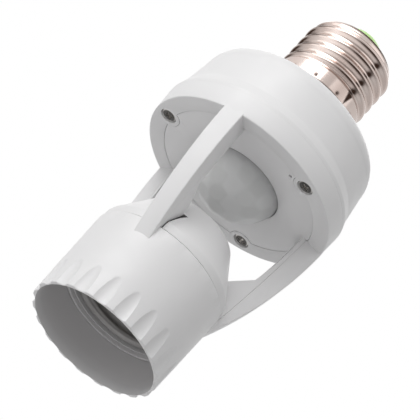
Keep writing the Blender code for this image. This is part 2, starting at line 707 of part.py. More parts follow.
def make_inner_cage(plastic):
    """Plate, three strips with webs and the dome behind the socket, one moulding."""
    top_inner = DOME_TOP - DOME_WALL
    dome = [
        (0.0, DOME_TOP),
        (DOME_TOP_RADIUS - DOME_TOP_EDGE, DOME_TOP),
        (DOME_TOP_RADIUS, DOME_TOP - DOME_TOP_EDGE),
        (DOME_WAIST_RADIUS, DOME_WAIST_HEIGHT),
        (COLLAR_RADIUS, COLLAR_TOP),
        (COLLAR_RADIUS, BARREL_HEIGHT + FIT),
        (COLLAR_RADIUS - DOME_WALL, BARREL_HEIGHT + FIT),
        (COLLAR_RADIUS - DOME_WALL, COLLAR_TOP - FIT),
        (DOME_WAIST_RADIUS - DOME_WALL, DOME_WAIST_HEIGHT - DOME_WALL / 2),
        (DOME_TOP_RADIUS - DOME_WALL, top_inner),
        (0.0, top_inner),
    ]
    plate_profile = [
        (PLATE_LIP_RADIUS, PLATE_LIP_TOP),
        (PLATE_LIP_RADIUS, PLATE_LIP_BOTTOM),
        (PLATE_RADIUS, PLATE_LIP_BOTTOM),
        (PLATE_RADIUS, PLATE_BOTTOM),
        (LENS_RADIUS + FIT, PLATE_BOTTOM),
        (LENS_RADIUS + FIT, PLATE_TOP),
        (PLATE_RADIUS - PLATE_RIM_WALL, PLATE_TOP),
        (PLATE_RADIUS - PLATE_RIM_WALL, PLATE_LIP_TOP),
    ]
    inner = turned("inner_cage", dome, plastic, closed=False)
    for number, (angle, _) in enumerate(around(LEGS, FIRST_LEG, COLLAR_RADIUS), start=1):
        cut(inner, dome_slot(number, angle))
    plate = turned("sensor_plate", plate_profile)
    screws = [centre for _, centre in around(SCREWS, FIRST_SCREW, SCREW_CIRCLE)]
    below = PLATE_BOTTOM - FIT
    above = PLATE_LIP_TOP + FIT
    cut(plate, rod_pattern("ear_notches", EAR_RADIUS + FIT, below, above, screws))
    legs = around(LEGS, FIRST_LEG, POST_FROM_AXIS)
    for number, (angle, _) in enumerate(legs, start=1):
        cut(plate, leg_root_notch(number, angle))
        cut(plate, wire_notch(number, angle))
    join(inner, plate)
    for number, (angle, _) in enumerate(legs, start=1):
        join(inner, leg_strip(number, angle))
    posts = [centre for _, centre in legs]
    in_plate = PLATE_BOTTOM + PLATE_THICKNESS / 2
    join(inner, rod_pattern("board_posts", POST_RADIUS, in_plate, BOARD_BOTTOM - FIT, posts, sides=10))
    light_hole = (
        LIGHT_HOLE_FROM_AXIS * math.cos(LIGHT_HOLE_ANGLE),
        LIGHT_HOLE_FROM_AXIS * math.sin(LIGHT_HOLE_ANGLE),
    )
    pocket = LIGHT_SENSOR_RADIUS + FIT
    cut(inner, rod("light_hole", LIGHT_HOLE_RADIUS, below, above, None, light_hole, 12))
    cut(inner, rod("light_pocket", pocket, PLATE_TOP, above, None, light_hole))
    for number, (angle, _) in enumerate(legs, start=1):
        cut(inner, wire_port(number, angle))
    return inner


def leg_root_notch(number, angle):
    """Room in the plate's edge for the top of one leg's channel."""
    inner = SEAM_TOP_RADIUS - FIT
    bottom = PLATE_BOTTOM - FIT
    top = PLATE_LIP_BOTTOM - FIT
    outline = [(FLANGE_BORE, bottom), (inner, bottom), (inner, top), (FLANGE_BORE, top)]
    width = LEG_TOP_WIDTH + 2 * FIT
    return side_outline(f"leg_{number}_root_notch", outline, width, angle)


def dome_slot(number, angle):
    """The slot in the dome, open at its lower edge, that leaves a gap on both sides of one web."""
    bottom = BARREL_HEIGHT
    top = DOME_WAIST_HEIGHT - WEB_JOINT_DEPTH
    outer = COLLAR_RADIUS + FIT
    outline = [(outer, bottom), (outer, top)]
    outline += [(dome_bore(top) - FIT, top), (dome_bore(COLLAR_TOP) - FIT, COLLAR_TOP)]
    outline.append((dome_bore(COLLAR_TOP) - FIT, bottom))
    width = LEG_TOP_WIDTH + 2 * WEB_GAP
    return narrow_to_foot(side_outline(f"leg_{number}_dome_slot", outline, width, angle))


def wire_notch(number, angle):
    """Room in the plate's lip for the wire that goes down one leg."""
    inner = PLATE_RADIUS
    outer = PLATE_LIP_RADIUS + FIT
    bottom = PLATE_LIP_BOTTOM - FIT
    top = PLATE_LIP_TOP + FIT
    outline = [(outer, bottom), (inner, bottom), (inner, top), (outer, top)]
    width = LEG_FOOT_WIDTH - 2 * LEG_SIDE_WALL
    return side_outline(f"leg_{number}_wire_notch", outline, width, angle)


def wire_port(number, angle):
    """The hole that lets a wire through one leg's web into the dome."""
    inside = dome_radius(WIRE_PORT_HEIGHT) - 2 * DOME_WALL
    outside = leg_seam(WIRE_PORT_HEIGHT)
    middle = (inside + outside) / 2
    turn = Matrix.Rotation(angle, 4, "Z")
    lie = Matrix.Rotation(math.pi / 2, 4, "Y")
    matrix = turn @ Matrix.Translation((middle, 0.0, WIRE_PORT_HEIGHT)) @ lie

    def build(shape):
        add_rod(shape, WIRE_PORT_RADIUS, outside - inside, matrix, 12)

    return solid(f"leg_{number}_wire_port", build)


def make_cover(plastic):
    """The housing's upper cover with its rounded shoulder, its neck and three screw bosses."""
    outer_centre = COVER_SHOULDER_RADIUS - COVER_ROUNDING
    rounding = quarter_round(outer_centre, COVER_SHOULDER_HEIGHT, COVER_ROUNDING)
    inner_size = COVER_ROUNDING - COVER_WALL
    inner_rounding = quarter_round(outer_centre, COVER_SHOULDER_HEIGHT, inner_size, ROUNDING_STEPS // 2)
    lip_top = COVER_BOTTOM + COVER_LIP_HEIGHT
    profile = [(NECK_RADIUS, NECK_TOP), (NECK_RADIUS, COVER_TOP)]
    profile += rounding
    profile += [
        (COVER_CREASE_RADIUS, COVER_CREASE_HEIGHT),
        (COVER_LIP_RADIUS, lip_top),
        (COVER_LIP_RADIUS, COVER_BOTTOM),
        (SPIGOT_RADIUS, COVER_BOTTOM),
        (SPIGOT_RADIUS, COVER_BOTTOM - SPIGOT_DEPTH),
        (SPIGOT_BORE, COVER_BOTTOM - SPIGOT_DEPTH),
        (SPIGOT_BORE, COVER_BOTTOM),
        (COVER_CREASE_RADIUS - COVER_WALL, COVER_CREASE_HEIGHT),
    ]
    profile += reversed(inner_rounding)
    profile += [(NECK_BORE, COVER_TOP - COVER_WALL), (NECK_BORE, NECK_TOP)]
    cover = turned("upper_housing", profile, plastic)
    screws = [centre for _, centre in around(SCREWS, FIRST_SCREW, SCREW_CIRCLE)]
    join(cover, rod_pattern("screw_bosses", BOSS_RADIUS, FLANGE_TOP + FIT, BOSS_TOP, screws, sides=12))
    hole_top = FLANGE_TOP + SCREW_LENGTH
    cut(cover, rod_pattern("boss_holes", SCREW_HOLE_RADIUS, FLANGE_TOP, hole_top, screws, sides=12))
    return cover


def wave(radius_amplitude, phase, height, bottom, top):
    """Radial rise of a rounded thread, running out over a short way at both ends."""
    rise = min(max((height - bottom) / THREAD_RUN_OUT, 0.0), 1.0)
    fall = min(max((top - height) / THREAD_RUN_OUT, 0.0), 1.0)
    share = min(rise, fall)
    return radius_amplitude * math.cos(phase) * share * share * (3 - 2 * share)


def threaded_sheet(name, profile, depth, span, material):
    """A turned sheet whose wall follows a rounded right-hand thread between two heights."""
    guide = turned(name, profile, steps=THREAD_SEGMENTS, closed=False)
    mesh = bake(guide)
    mesh.name = name
    bpy.data.objects.remove(guide, do_unlink=True)
    bottom, top = span
    for vertex in mesh.vertices:
        angle = math.atan2(vertex.co.y, vertex.co.x)
        phase = 2 * math.pi * (vertex.co.z - CREST_HEIGHT) / THREAD_PITCH - (angle - CREST_ANGLE)
        out = wave(depth / 2, phase, vertex.co.z, bottom, top)
        direction = Vector((math.cos(angle), math.sin(angle), 0.0))
        vertex.co += direction * out
    obj = place(bpy.data.objects.new(name, mesh), material)
    thickness = obj.modifiers.new("Sheet", "SOLIDIFY")
    thickness.thickness = SHEET
    thickness.offset = -1.0
    return obj


def rows(top, bottom, count, radius):
    """Points down a straight wall, top to bottom."""
    return [(radius, blend(top, bottom, i / count)) for i in range(count + 1)]


def make_cap_shell(metal):
    """The screw cap's threaded sheet shell, with its rounded end and plain skirt."""
    shoulder = (THREAD_RADIUS + CAP_END_BORE) / 2
    profile = [(CAP_END_BORE, CAP_END_HEIGHT)]
    profile.append((shoulder, CAP_END_HEIGHT - SHEET / 2))
    profile.append((THREAD_RADIUS - SHEET, (CAP_END_HEIGHT + THREAD_TOP) / 2))
    profile += rows(THREAD_TOP, THREAD_BOTTOM, THREAD_ROWS, THREAD_RADIUS)
    profile.append((SKIRT_RADIUS, THREAD_BOTTOM - SHEET))
    profile.append((SKIRT_RADIUS, COVER_TOP + FIT))
    span = (THREAD_BOTTOM, THREAD_TOP)
    return threaded_sheet("cap_shell", profile, THREAD_DEPTH, span, metal)


def make_cap_end(green, metal):
    """The insulator that closes the cap and the contact at its centre."""
    hole = WIRE_RADIUS + 2 * FIT
    recess = CONTACT_RADIUS + FIT
    step_top = CAP_END_HEIGHT + INSULATOR_STEP
    flange_bottom = INSULATOR_FLANGE_TOP - INSULATOR_FLANGE_HEIGHT
    middle_radius = (INSULATOR_TIP_RADIUS + INSULATOR_RADIUS) / 2 + INSULATOR_BULGE
    middle_height = (INSULATOR_TIP_HEIGHT + step_top) / 2 + INSULATOR_BULGE
    insulator = [
        (recess, INSULATOR_TIP_HEIGHT),
        (INSULATOR_TIP_RADIUS, INSULATOR_TIP_HEIGHT - FIT),
        (middle_radius, middle_height),
        (INSULATOR_RADIUS, step_top),
        (INSULATOR_RADIUS, INSULATOR_FLANGE_TOP),
        (INSULATOR_FLANGE_RADIUS, INSULATOR_FLANGE_TOP - FIT),
        (INSULATOR_FLANGE_RADIUS, flange_bottom),
        (hole, flange_bottom),
        (hole, CONTACT_BOTTOM - FIT),
        (recess, CONTACT_BOTTOM - FIT),
    ]
    turned("cap_insulator", insulator, green, steps=SMALL_TURN_SEGMENTS)
    edge = CONTACT_TOP - CONTACT_THICKNESS / 2
    contact = [
        (0.0, CONTACT_TOP),
        (CONTACT_RADIUS / 2, CONTACT_TOP - FIT),
        (CONTACT_RADIUS - FIT, edge + FIT),
        (CONTACT_RADIUS, edge),
        (CONTACT_RADIUS, CONTACT_BOTTOM),
        (0.0, CONTACT_BOTTOM),
    ]
    turned("cap_contact", contact, metal, steps=SMALL_SEGMENTS, closed=False)


def make_lens(milky):
    """The hollow half-dome lens with the flange that holds it in the plate."""
    inner_radius = LENS_RADIUS - LENS_WALL
    under_flange = math.asin((LENS_CENTRE - PLATE_TOP - FIT) / LENS_RADIUS)
    profile = []
    for i in range(LENS_STEPS + 1):
        angle = math.pi / 2 * (1 - i / LENS_STEPS)
        radius = inner_radius * math.cos(angle)
        profile.append((radius, LENS_CENTRE - inner_radius * math.sin(angle)))
    profile.append((LENS_FLANGE_RADIUS, LENS_CENTRE))
    profile.append((LENS_FLANGE_RADIUS, LENS_CENTRE - LENS_FLANGE_THICKNESS))
    for i in range(LENS_STEPS + 1):
        angle = blend(under_flange, math.pi / 2, i / LENS_STEPS)
        radius = LENS_RADIUS * math.cos(angle)
        profile.append((radius, LENS_CENTRE - LENS_RADIUS * math.sin(angle)))
    profile[0] = (0.0, profile[0][1])
    profile[-1] = (0.0, profile[-1][1])
    return turned("sensor_lens", profile, milky, steps=LENS_SEGMENTS, closed=False)


def make_detector(metal, plastic, board_green):
    """Retaining ring, infrared detector can, light sensor and circuit board."""
    retainer_top = RETAINER_BOTTOM + RETAINER_HEIGHT
    retainer = [
        (LENS_FLANGE_RADIUS, retainer_top),
        (LENS_FLANGE_RADIUS, RETAINER_BOTTOM),
        (RETAINER_BORE, RETAINER_BOTTOM),
        (RETAINER_BORE, retainer_top),
    ]
    turned("lens_retainer", retainer, plastic, steps=SMALL_TURN_SEGMENTS)
    under_board = BOARD_BOTTOM - FIT
    brim = under_board - 2 * FIT
    can = [
        (0.0, under_board),
        (DETECTOR_BRIM_RADIUS, under_board),
        (DETECTOR_BRIM_RADIUS, brim),
        (DETECTOR_RADIUS, brim),
        (DETECTOR_RADIUS, under_board - DETECTOR_HEIGHT),
        (0.0, under_board - DETECTOR_HEIGHT),
    ]
    turned("sensor_can", can, metal, steps=SMALL_SEGMENTS, closed=False)
    spot = (
        LIGHT_HOLE_FROM_AXIS * math.cos(LIGHT_HOLE_ANGLE),
        LIGHT_HOLE_FROM_AXIS * math.sin(LIGHT_HOLE_ANGLE),
    )
    rod("light_sensor", LIGHT_SENSOR_RADIUS, PLATE_TOP + FIT, under_board, plastic, spot)
    board = rod("circuit_board", BOARD_RADIUS, BOARD_BOTTOM, BOARD_TOP, board_green, sides=SEGMENTS)
    screws = [centre for _, centre in around(SCREWS, FIRST_SCREW, SCREW_CIRCLE)]
    notch = BOSS_RADIUS + FIT
    below = BOARD_BOTTOM - FIT
    above = BOARD_TOP + FIT
    cut(board, rod_pattern("board_notches", notch, below, above, screws))
    return board


def on_board(spot):
    """The place that a pair of shares of the board's radius stands for."""
    return (spot[0] * BOARD_RADIUS, spot[1] * BOARD_RADIUS)


def lying_rod(name, radius, length, centre, height, material):
    """A round component that lies along X on the circuit board."""
    lie = Matrix.Rotation(math.pi / 2, 4, "Y")
    matrix = Matrix.Translation((*centre, height + radius)) @ lie

    def build(shape):
        add_rod(shape, radius, length, matrix)

    return solid(name, build, material)


def make_components(dark, blue, ochre):
    """The larger components that stand on the circuit board."""
    base = BOARD_TOP + FIT
    relay_size = (RELAY_LENGTH, RELAY_WIDTH, RELAY_HEIGHT)
    block("relay", relay_size, on_board(RELAY_PLACE), base, blue, FIT)
    film_size = (FILM_CAPACITOR_LENGTH, FILM_CAPACITOR_WIDTH, FILM_CAPACITOR_HEIGHT)
    block("film_capacitor", film_size, on_board(FILM_CAPACITOR_PLACE), base, ochre, FIT)
    chip_size = (CHIP_LENGTH, CHIP_WIDTH, CHIP_HEIGHT)
    block("control_chip", chip_size, on_board(CHIP_PLACE), base, dark, FIT)
    top = base + ELECTROLYTIC_HEIGHT
    spot = on_board(ELECTROLYTIC_PLACE)
    rod("electrolytic_capacitor", ELECTROLYTIC_RADIUS, base, top, dark, spot, sides=SMALL_TURN_SEGMENTS)
    spot = on_board(RESISTOR_PLACE)
    lying_rod("power_resistor", RESISTOR_RADIUS, RESISTOR_LENGTH, spot, base, ochre)
    spot = on_board(DIODE_PLACE)
    lying_rod("rectifier_diode", DIODE_RADIUS, DIODE_LENGTH, spot, base, dark)


def make_housing_screw(number, centre, metal):
    """A cross-head screw that comes up through the flange into the cover's boss."""
    head_bottom = RING_BOTTOM + SCREW_SINK
    head_top = head_bottom + SCREW_HEAD_HEIGHT
    profile = [
        (0.0, head_bottom + SCREW_LENGTH),
        (SCREW_SHANK_RADIUS - FIT, head_bottom + SCREW_LENGTH),
        (SCREW_SHANK_RADIUS, head_bottom + SCREW_LENGTH - FIT),
        (SCREW_SHANK_RADIUS, head_top),
        (SCREW_HEAD_RADIUS, head_top),
        (SCREW_HEAD_RADIUS, head_bottom + FIT),
        (SCREW_HEAD_RADIUS - FIT, head_bottom),
        (0.0, head_bottom),
    ]
    screw = turned(f"housing_screw_{number}", profile, metal, steps=SCREW_SEGMENTS, closed=False)
    screw.location = (*centre, 0.0)

    for slot, size in enumerate(((SLOT_LENGTH, SLOT_WIDTH), (SLOT_WIDTH, SLOT_LENGTH)), start=1):
        cut(screw, slot_cutter(f"screw_{number}_slot_{slot}", size, centre, head_bottom))
    return screw


def slot_cutter(name, size, centre, face):
    """One arm of the cross in a screw's head."""

    def build(shape):
        scale = Matrix.Diagonal((*size, 2 * SLOT_DEPTH, 1.0))
        matrix = Matrix.Translation((*centre, face)) @ scale
        bmesh.ops.create_cube(shape, size=1.0, matrix=matrix)

    return solid(name, build)


def make_socket_shell(metal):
    """The lamp socket's threaded sheet shell, with a rolled lip and a top flange."""
    lip = SHELL_BOTTOM + 2 * SHEET
    thread_top = SHELL_TOP - 2 * SHEET
    profile = [
        (SHELL_FLANGE_BORE, SHELL_TOP),
        (SHELL_RADIUS - 2 * SHEET, SHELL_TOP),
    ]
    profile += rows(thread_top, lip, SHELL_ROWS, SHELL_RADIUS)
    profile.append((SHELL_LIP_RADIUS, SHELL_BOTTOM))
    span = (lip, thread_top)
    shell = threaded_sheet("socket_shell", profile, SHELL_THREAD_DEPTH, span, metal)
    holes = [(SOCKET_SCREW_FROM_AXIS, 0.0), (-SOCKET_SCREW_FROM_AXIS, 0.0)]
    top = SHELL_TOP + FIT
    bottom = SHELL_TOP - 2 * SHEET
    return cut(shell, rod_pattern("shell_holes", SCREW_HOLE_RADIUS, bottom, top, holes))


def make_socket_base(ceramic, metal):
    """The insulating base behind the socket shell, with its two screws."""
    outer = min(COLLAR_RADIUS - DOME_WALL, dome_bore(BASE_TOP)) - FIT
    skirt_outer = BARREL_BORE - FIT
    skirt_bottom = BASE_BOTTOM - BASE_SKIRT_DEPTH
    profile = [
        (0.0, BASE_TOP),
        (outer, BASE_TOP),
        (outer, BASE_BOTTOM),
        (skirt_outer, BASE_BOTTOM),
        (skirt_outer, skirt_bottom),
        (skirt_outer - BASE_SKIRT_WALL, skirt_bottom),
        (skirt_outer - BASE_SKIRT_WALL, BASE_BOTTOM),
        (0.0, BASE_BOTTOM),
    ]
    base = turned("socket_base", profile, ceramic, steps=SMALL_TURN_SEGMENTS, closed=False)
    spots = [(SOCKET_SCREW_FROM_AXIS, 0.0), (-SOCKET_SCREW_FROM_AXIS, 0.0)]
    below = BASE_BOTTOM - FIT
    above = BASE_TOP + FIT
    cut(base, rod_pattern("base_holes", SCREW_HOLE_RADIUS, below, above, spots))
    rivet_spot = (0.0, RIVET_FROM_AXIS)
    cut(base, rod("rivet_hole", RIVET_RADIUS + FIT, below, above, None, rivet_spot))
    for number, spot in enumerate(spots, start=1):
        head_bottom = BASE_TOP + FIT
        head_top = head_bottom + SOCKET_SCREW_HEAD_HEIGHT
        screw_profile = [
            (0.0, head_top),
            (SOCKET_SCREW_HEAD_RADIUS - FIT, head_top),
            (SOCKET_SCREW_HEAD_RADIUS, head_top - FIT),
            (SOCKET_SCREW_HEAD_RADIUS, head_bottom),
            (SCREW_SHANK_RADIUS, head_bottom),
            (SCREW_SHANK_RADIUS, SHELL_TOP - 2 * SHEET),
            (0.0, SHELL_TOP - 2 * SHEET),
        ]
        name = f"socket_screw_{number}"
        screw = turned(name, screw_profile, metal, steps=SCREW_SEGMENTS, closed=False)
        screw.location = (*spot, 0.0)
    return base


def make_contact(brass):
    """The sprung centre contact: a bent leaf riveted to the base, and the button under it."""
    top = [
        (LEAF_FOOT, LEAF_FOOT_TOP),
        (LEAF_BEND, LEAF_FOOT_TOP),
        (-LEAF_BEND / 3, LEAF_TIP_TOP),
        (LEAF_END, LEAF_TIP_TOP),
    ]
    outline = top + [(x, z - LEAF_THICKNESS) for x, z in reversed(top)]
    leaf = side_outline("contact_leaf", outline, LEAF_WIDTH, math.pi / 2, brass)
    spot = (0.0, RIVET_FROM_AXIS)
    below = LEAF_FOOT_TOP - 2 * LEAF_THICKNESS
    above = LEAF_FOOT_TOP + FIT
    cut(leaf, rod("leaf_hole", RIVET_RADIUS + FIT, below, above, None, spot))
    under_leaf = LEAF_FOOT_TOP - LEAF_THICKNESS - FIT
    head = RIVET_HEAD_HEIGHT
    profile = [
        (0.0, BASE_TOP + FIT + head),
        (RIVET_HEAD_RADIUS, BASE_TOP + FIT + head),
        (RIVET_HEAD_RADIUS, BASE_TOP + FIT),
        (RIVET_RADIUS, BASE_TOP + FIT),
        (RIVET_RADIUS, under_leaf),
        (RIVET_HEAD_RADIUS, under_leaf),
        (RIVET_HEAD_RADIUS, under_leaf - head),
        (0.0, under_leaf - head),
    ]
    rivet = turned("leaf_rivet", profile, brass, steps=SMALL_SEGMENTS, closed=False)
    rivet.location = (*spot, 0.0)
    shoulder = BUTTON_TOP - BUTTON_SIDE
    crown = shoulder - BUTTON_TAPER
    button = [
        (0.0, BUTTON_TOP),
        (BUTTON_RADIUS, BUTTON_TOP),
        (BUTTON_RADIUS, shoulder),
        (BUTTON_RADIUS / 2, crown),
        (0.0, crown - BUTTON_TIP),
    ]
    turned("contact_button", button, brass, steps=SMALL_SEGMENTS, closed=False)


def bend(points, steps=4):
    """A smooth path that passes through its points, with each span in equal steps."""
    path = []
    padded = [points[0], *points, points[-1]]
    for i in range(len(points) - 1):
        before, start, end, after = padded[i : i + 4]
        for step in range(steps):
            t = step / steps
            linear = (end - before) * t
            square = (2 * before - 5 * start + 4 * end - after) * t * t
            cube = (3 * start - before - 3 * end + after) * t * t * t
            path.append((2 * start + linear + square + cube) / 2)
    path.append(points[-1])
    return path


def make_wires(red, blue):
    """Leads from the cap to the board, and from the board down two legs to the socket."""
    board = BOARD_TOP + FIT + WIRE_RADIUS
    relay_spot = on_board(RELAY_PLACE)
    live_spot = (relay_spot[0] + RELAY_LENGTH / 2 + LIVE_LEAD_FROM_RELAY, relay_spot[1])
    live = [
        Vector((*live_spot, board)),
        Vector((*live_spot, board + LEAD_RISE)),
        Vector((0.0, 0.0, COVER_TOP)),
        Vector((0.0, 0.0, NECK_TOP)),
        Vector((0.0, 0.0, CONTACT_BOTTOM - FIT)),
    ]
    wire("cap_live_wire", bend(live, 3), WIRE_RADIUS, red)
    over_neck = NECK_TOP + FIT + WIRE_RADIUS
    inside_neck = NECK_BORE - FIT - WIRE_RADIUS
    neutral_spot = on_board(NEUTRAL_LEAD_PLACE)
    neutral = [
        Vector((*neutral_spot, board)),
        Vector((*neutral_spot, board + LEAD_RISE)),
        Vector((inside_neck - 3 * WIRE_RADIUS, 0.0, COVER_TOP)),
        Vector((inside_neck - FIT, 0.0, NECK_TOP - LEAD_BELOW_NECK)),
        Vector((inside_neck - FIT, 0.0, over_neck)),
    ]
    wire("cap_neutral_wire", bend(neutral, 3), WIRE_RADIUS, blue)
    on_base = BASE_TOP + FIT + WIRE_RADIUS
    at_rivet = Vector((0.0, RIVET_FROM_AXIS - RIVET_HEAD_RADIUS - FIT, on_base))
    beside_head = SOCKET_SCREW_HEAD_RADIUS + FIT
    at_screw = Vector((SOCKET_SCREW_FROM_AXIS, beside_head, on_base))
    second_leg = FIRST_LEG + 2 * math.pi / LEGS
    wire("lamp_live_wire", lamp_wire_route(FIRST_LEG, at_rivet), WIRE_RADIUS, red)
    wire("lamp_neutral_wire", lamp_wire_route(second_leg, at_screw), WIRE_RADIUS, blue)


def lamp_wire_route(angle, end):
    """From under the board's edge, down inside a leg and through its web to a terminal."""
    inside = LEG_FACE_WALL + FIT + WIRE_RADIUS
    under_board = BOARD_BOTTOM - FIT - WIRE_RADIUS
    lip_middle = (PLATE_RADIUS + PLATE_LIP_RADIUS) / 2 + FIT
    route = [(POST_FROM_AXIS + POST_RADIUS + 3 * FIT, under_board), (lip_middle - FIT, under_board)]
    route.append((lip_middle + FIT, PLATE_LIP_BOTTOM))
    route += [(leg_face(z) - inside, z) for z in heights(RING_BOTTOM, WIRE_PORT_HEIGHT + LEG_LEAD_RISE, 3)]
    route.append((leg_seam(WIRE_PORT_HEIGHT), WIRE_PORT_HEIGHT))
    route.append((dome_bore(WIRE_PORT_HEIGHT) - WIRE_RADIUS, WIRE_PORT_HEIGHT))
    points = [Vector((r * math.cos(angle), r * math.sin(angle), z)) for r, z in route]
    return bend([*points, end], 2)


clear_scene()
PARTS = new_collection("Motion sensor lamp holder")
CUTTERS = new_collection("Cutters")


def main():
    white = surface("white plastic", PLASTIC_WHITE, 0.42)
    grey = surface("socket insulation", PLASTIC_GREY, 0.5)
    nickel = surface("nickel-plated sheet", NICKEL, 0.16, metallic=1.0)
    steel = surface("steel screw", (0.55, 0.54, 0.52, 1.0), 0.3, metallic=1.0)
    brass = surface("brass", (0.80, 0.62, 0.33, 1.0), 0.25, metallic=1.0)
    green = surface("green insulator", (0.30, 0.58, 0.08, 1.0), 0.35)
    milky = surface("milky lens", (0.62, 0.62, 0.61, 1.0), 0.35, transmission=0.2)
    board = surface("circuit board", (0.05, 0.25, 0.10, 1.0), 0.5)
    dark = surface("dark component", (0.03, 0.03, 0.03, 1.0), 0.5)
    relay_blue = surface("relay case", (0.05, 0.16, 0.45, 1.0), 0.4)
    ochre = surface("ochre component", (0.55, 0.30, 0.08, 1.0), 0.4)
    red_wire = surface("red insulation", (0.60, 0.04, 0.03, 1.0), 0.45)
    blue_wire = surface("blue insulation", (0.05, 0.12, 0.50, 1.0), 0.45)
    make_cage(white)
    make_inner_cage(white)
    make_cover(white)
    make_cap_shell(nickel)
    make_cap_end(green, steel)
    make_lens(milky)
    make_detector(steel, grey, board)
    make_components(dark, relay_blue, ochre)
    screw_places = around(SCREWS, FIRST_SCREW, SCREW_CIRCLE)
    for number, (_, centre) in enumerate(screw_places, start=1):
        make_housing_screw(number, centre, steel)
    make_socket_shell(nickel)
    make_socket_base(grey, steel)
    make_contact(brass)
    make_wires(red_wire, blue_wire)
    for obj in PARTS.objects:
        settle(obj)


main()
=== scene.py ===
# %% [markdown]
# # Motion sensor lamp holder
#
# A screw cap at the top holds a round sensor housing. Three slim legs hang a lamp socket
# below it, and a milky half-dome lens looks down between the legs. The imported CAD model
# is the fixed frame, and this lesson dresses it with smooth surfaces and finishes.

# %% Load the frame
import math

import bpy
import numpy as np
from mathutils import Matrix, Vector


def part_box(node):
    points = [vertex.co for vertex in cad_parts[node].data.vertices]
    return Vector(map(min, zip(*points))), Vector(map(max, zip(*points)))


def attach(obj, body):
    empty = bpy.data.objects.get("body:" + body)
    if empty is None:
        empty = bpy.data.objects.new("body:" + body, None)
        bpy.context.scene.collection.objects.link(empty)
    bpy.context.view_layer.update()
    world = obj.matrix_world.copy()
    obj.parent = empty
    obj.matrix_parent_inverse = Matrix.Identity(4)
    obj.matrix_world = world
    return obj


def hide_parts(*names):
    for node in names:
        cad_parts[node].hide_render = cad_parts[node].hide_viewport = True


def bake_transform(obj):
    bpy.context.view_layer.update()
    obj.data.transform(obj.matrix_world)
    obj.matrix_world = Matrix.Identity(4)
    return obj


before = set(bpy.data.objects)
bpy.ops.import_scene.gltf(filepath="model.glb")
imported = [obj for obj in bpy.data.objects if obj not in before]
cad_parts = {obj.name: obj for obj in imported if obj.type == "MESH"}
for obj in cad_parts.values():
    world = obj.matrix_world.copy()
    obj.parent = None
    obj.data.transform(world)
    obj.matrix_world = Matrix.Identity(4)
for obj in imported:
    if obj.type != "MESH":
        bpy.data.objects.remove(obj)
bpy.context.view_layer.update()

# %% [markdown]
# ## Sizes
#
# Every surface is a formula in the CAD model's sizes, so it lands where its solid is.
# Blender works in metres: a size in millimetres is written times MM.

# %% Sizes
MM = 0.001
BODY = "holder"
LEG_ANGLES = np.radians([-90.0, 30.0, 150.0])
RING_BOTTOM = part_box("cage_body")[0][2] + 61.0 * MM
RING_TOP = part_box("cage_body")[1][2]
print("ring from", RING_BOTTOM, "to", RING_TOP)

# %% [markdown]
# ## One way to make every surface
#
# A moulded or pressed part is a skin stretched over rings of points. Quads join each ring
# to the next, and numpy numbers the whole grid at once. The ends are closed with a fan, or
# the last ring joins the first. The signed volume says whether the faces point outwards.

# %% Skin over rings
def signed_volume(points, faces):
    """Volume inside a skin: the sum over its faces of corner . (corner x corner) / 6."""
    total = 0.0
    for side in range(1, faces.shape[1] - 1):
        first, second, third = (points[faces[:, corner]] for corner in (0, side, side + 1))
        total += np.einsum("ij,ij->i", first, np.cross(second, third)).sum() / 6
    return total


def skin(name, rings, loop=False, sharp=35.0):
    """Quads join ring i to ring i + 1; loop joins the last to the first, or else fans close both ends."""
    rows, columns = rings.shape[:2]
    points = rings.reshape(-1, 3)
    number = np.arange(rows * columns).reshape(rows, columns)
    upper, lower = (number, np.roll(number, -1, 0)) if loop else (number[:-1], number[1:])
    quads = np.stack([upper, np.roll(upper, -1, 1), np.roll(lower, -1, 1), lower], -1).reshape(-1, 4)
    fans = np.zeros((0, 3), int)
    if not loop:
        ends = np.array([rings[0].mean(0), rings[-1].mean(0)])
        first, last = len(points), len(points) + 1
        points = np.vstack([points, ends])
        start = np.stack([np.full(columns, first), np.roll(number[0], -1), number[0]], -1)
        finish = np.stack([np.full(columns, last), number[-1], np.roll(number[-1], -1)], -1)
        fans = np.vstack([start, finish])
    if signed_volume(points, quads) + signed_volume(points, fans) < 0:
        quads, fans = quads[:, ::-1], fans[:, ::-1]
    mesh = bpy.data.meshes.new(name)
    mesh.from_pydata(points.tolist(), [], quads.tolist() + fans.tolist())
    mesh.shade_smooth()
    mesh.set_sharp_from_angle(angle=math.radians(sharp))
    piece = bpy.data.objects.new(name, mesh)
    bpy.context.scene.collection.objects.link(piece)
    return piece


CUBE_CORNER = np.array([(0, 0, 0), (1, 0, 0), (0, 1, 0), (0, 0, 1)], float)
CORNER_FACES = np.array([(0, 2, 1), (0, 1, 3), (0, 3, 2), (1, 2, 3)])
print("a cube's corner holds a sixth of it:", signed_volume(CUBE_CORNER, CORNER_FACES))

# %% [markdown]
# ## Profiles with soft corners
#
# Nothing that comes out of a mould has a perfectly sharp corner, and the small rounding
# catches the light. So each corner of a profile becomes a short curve, and long straight
# stretches get more points where a pattern has to bend them.

# %% Soft profiles
def unit(ways):
    """Each way divided by its own length."""
    return ways / np.linalg.norm(ways, axis=1, keepdims=True)


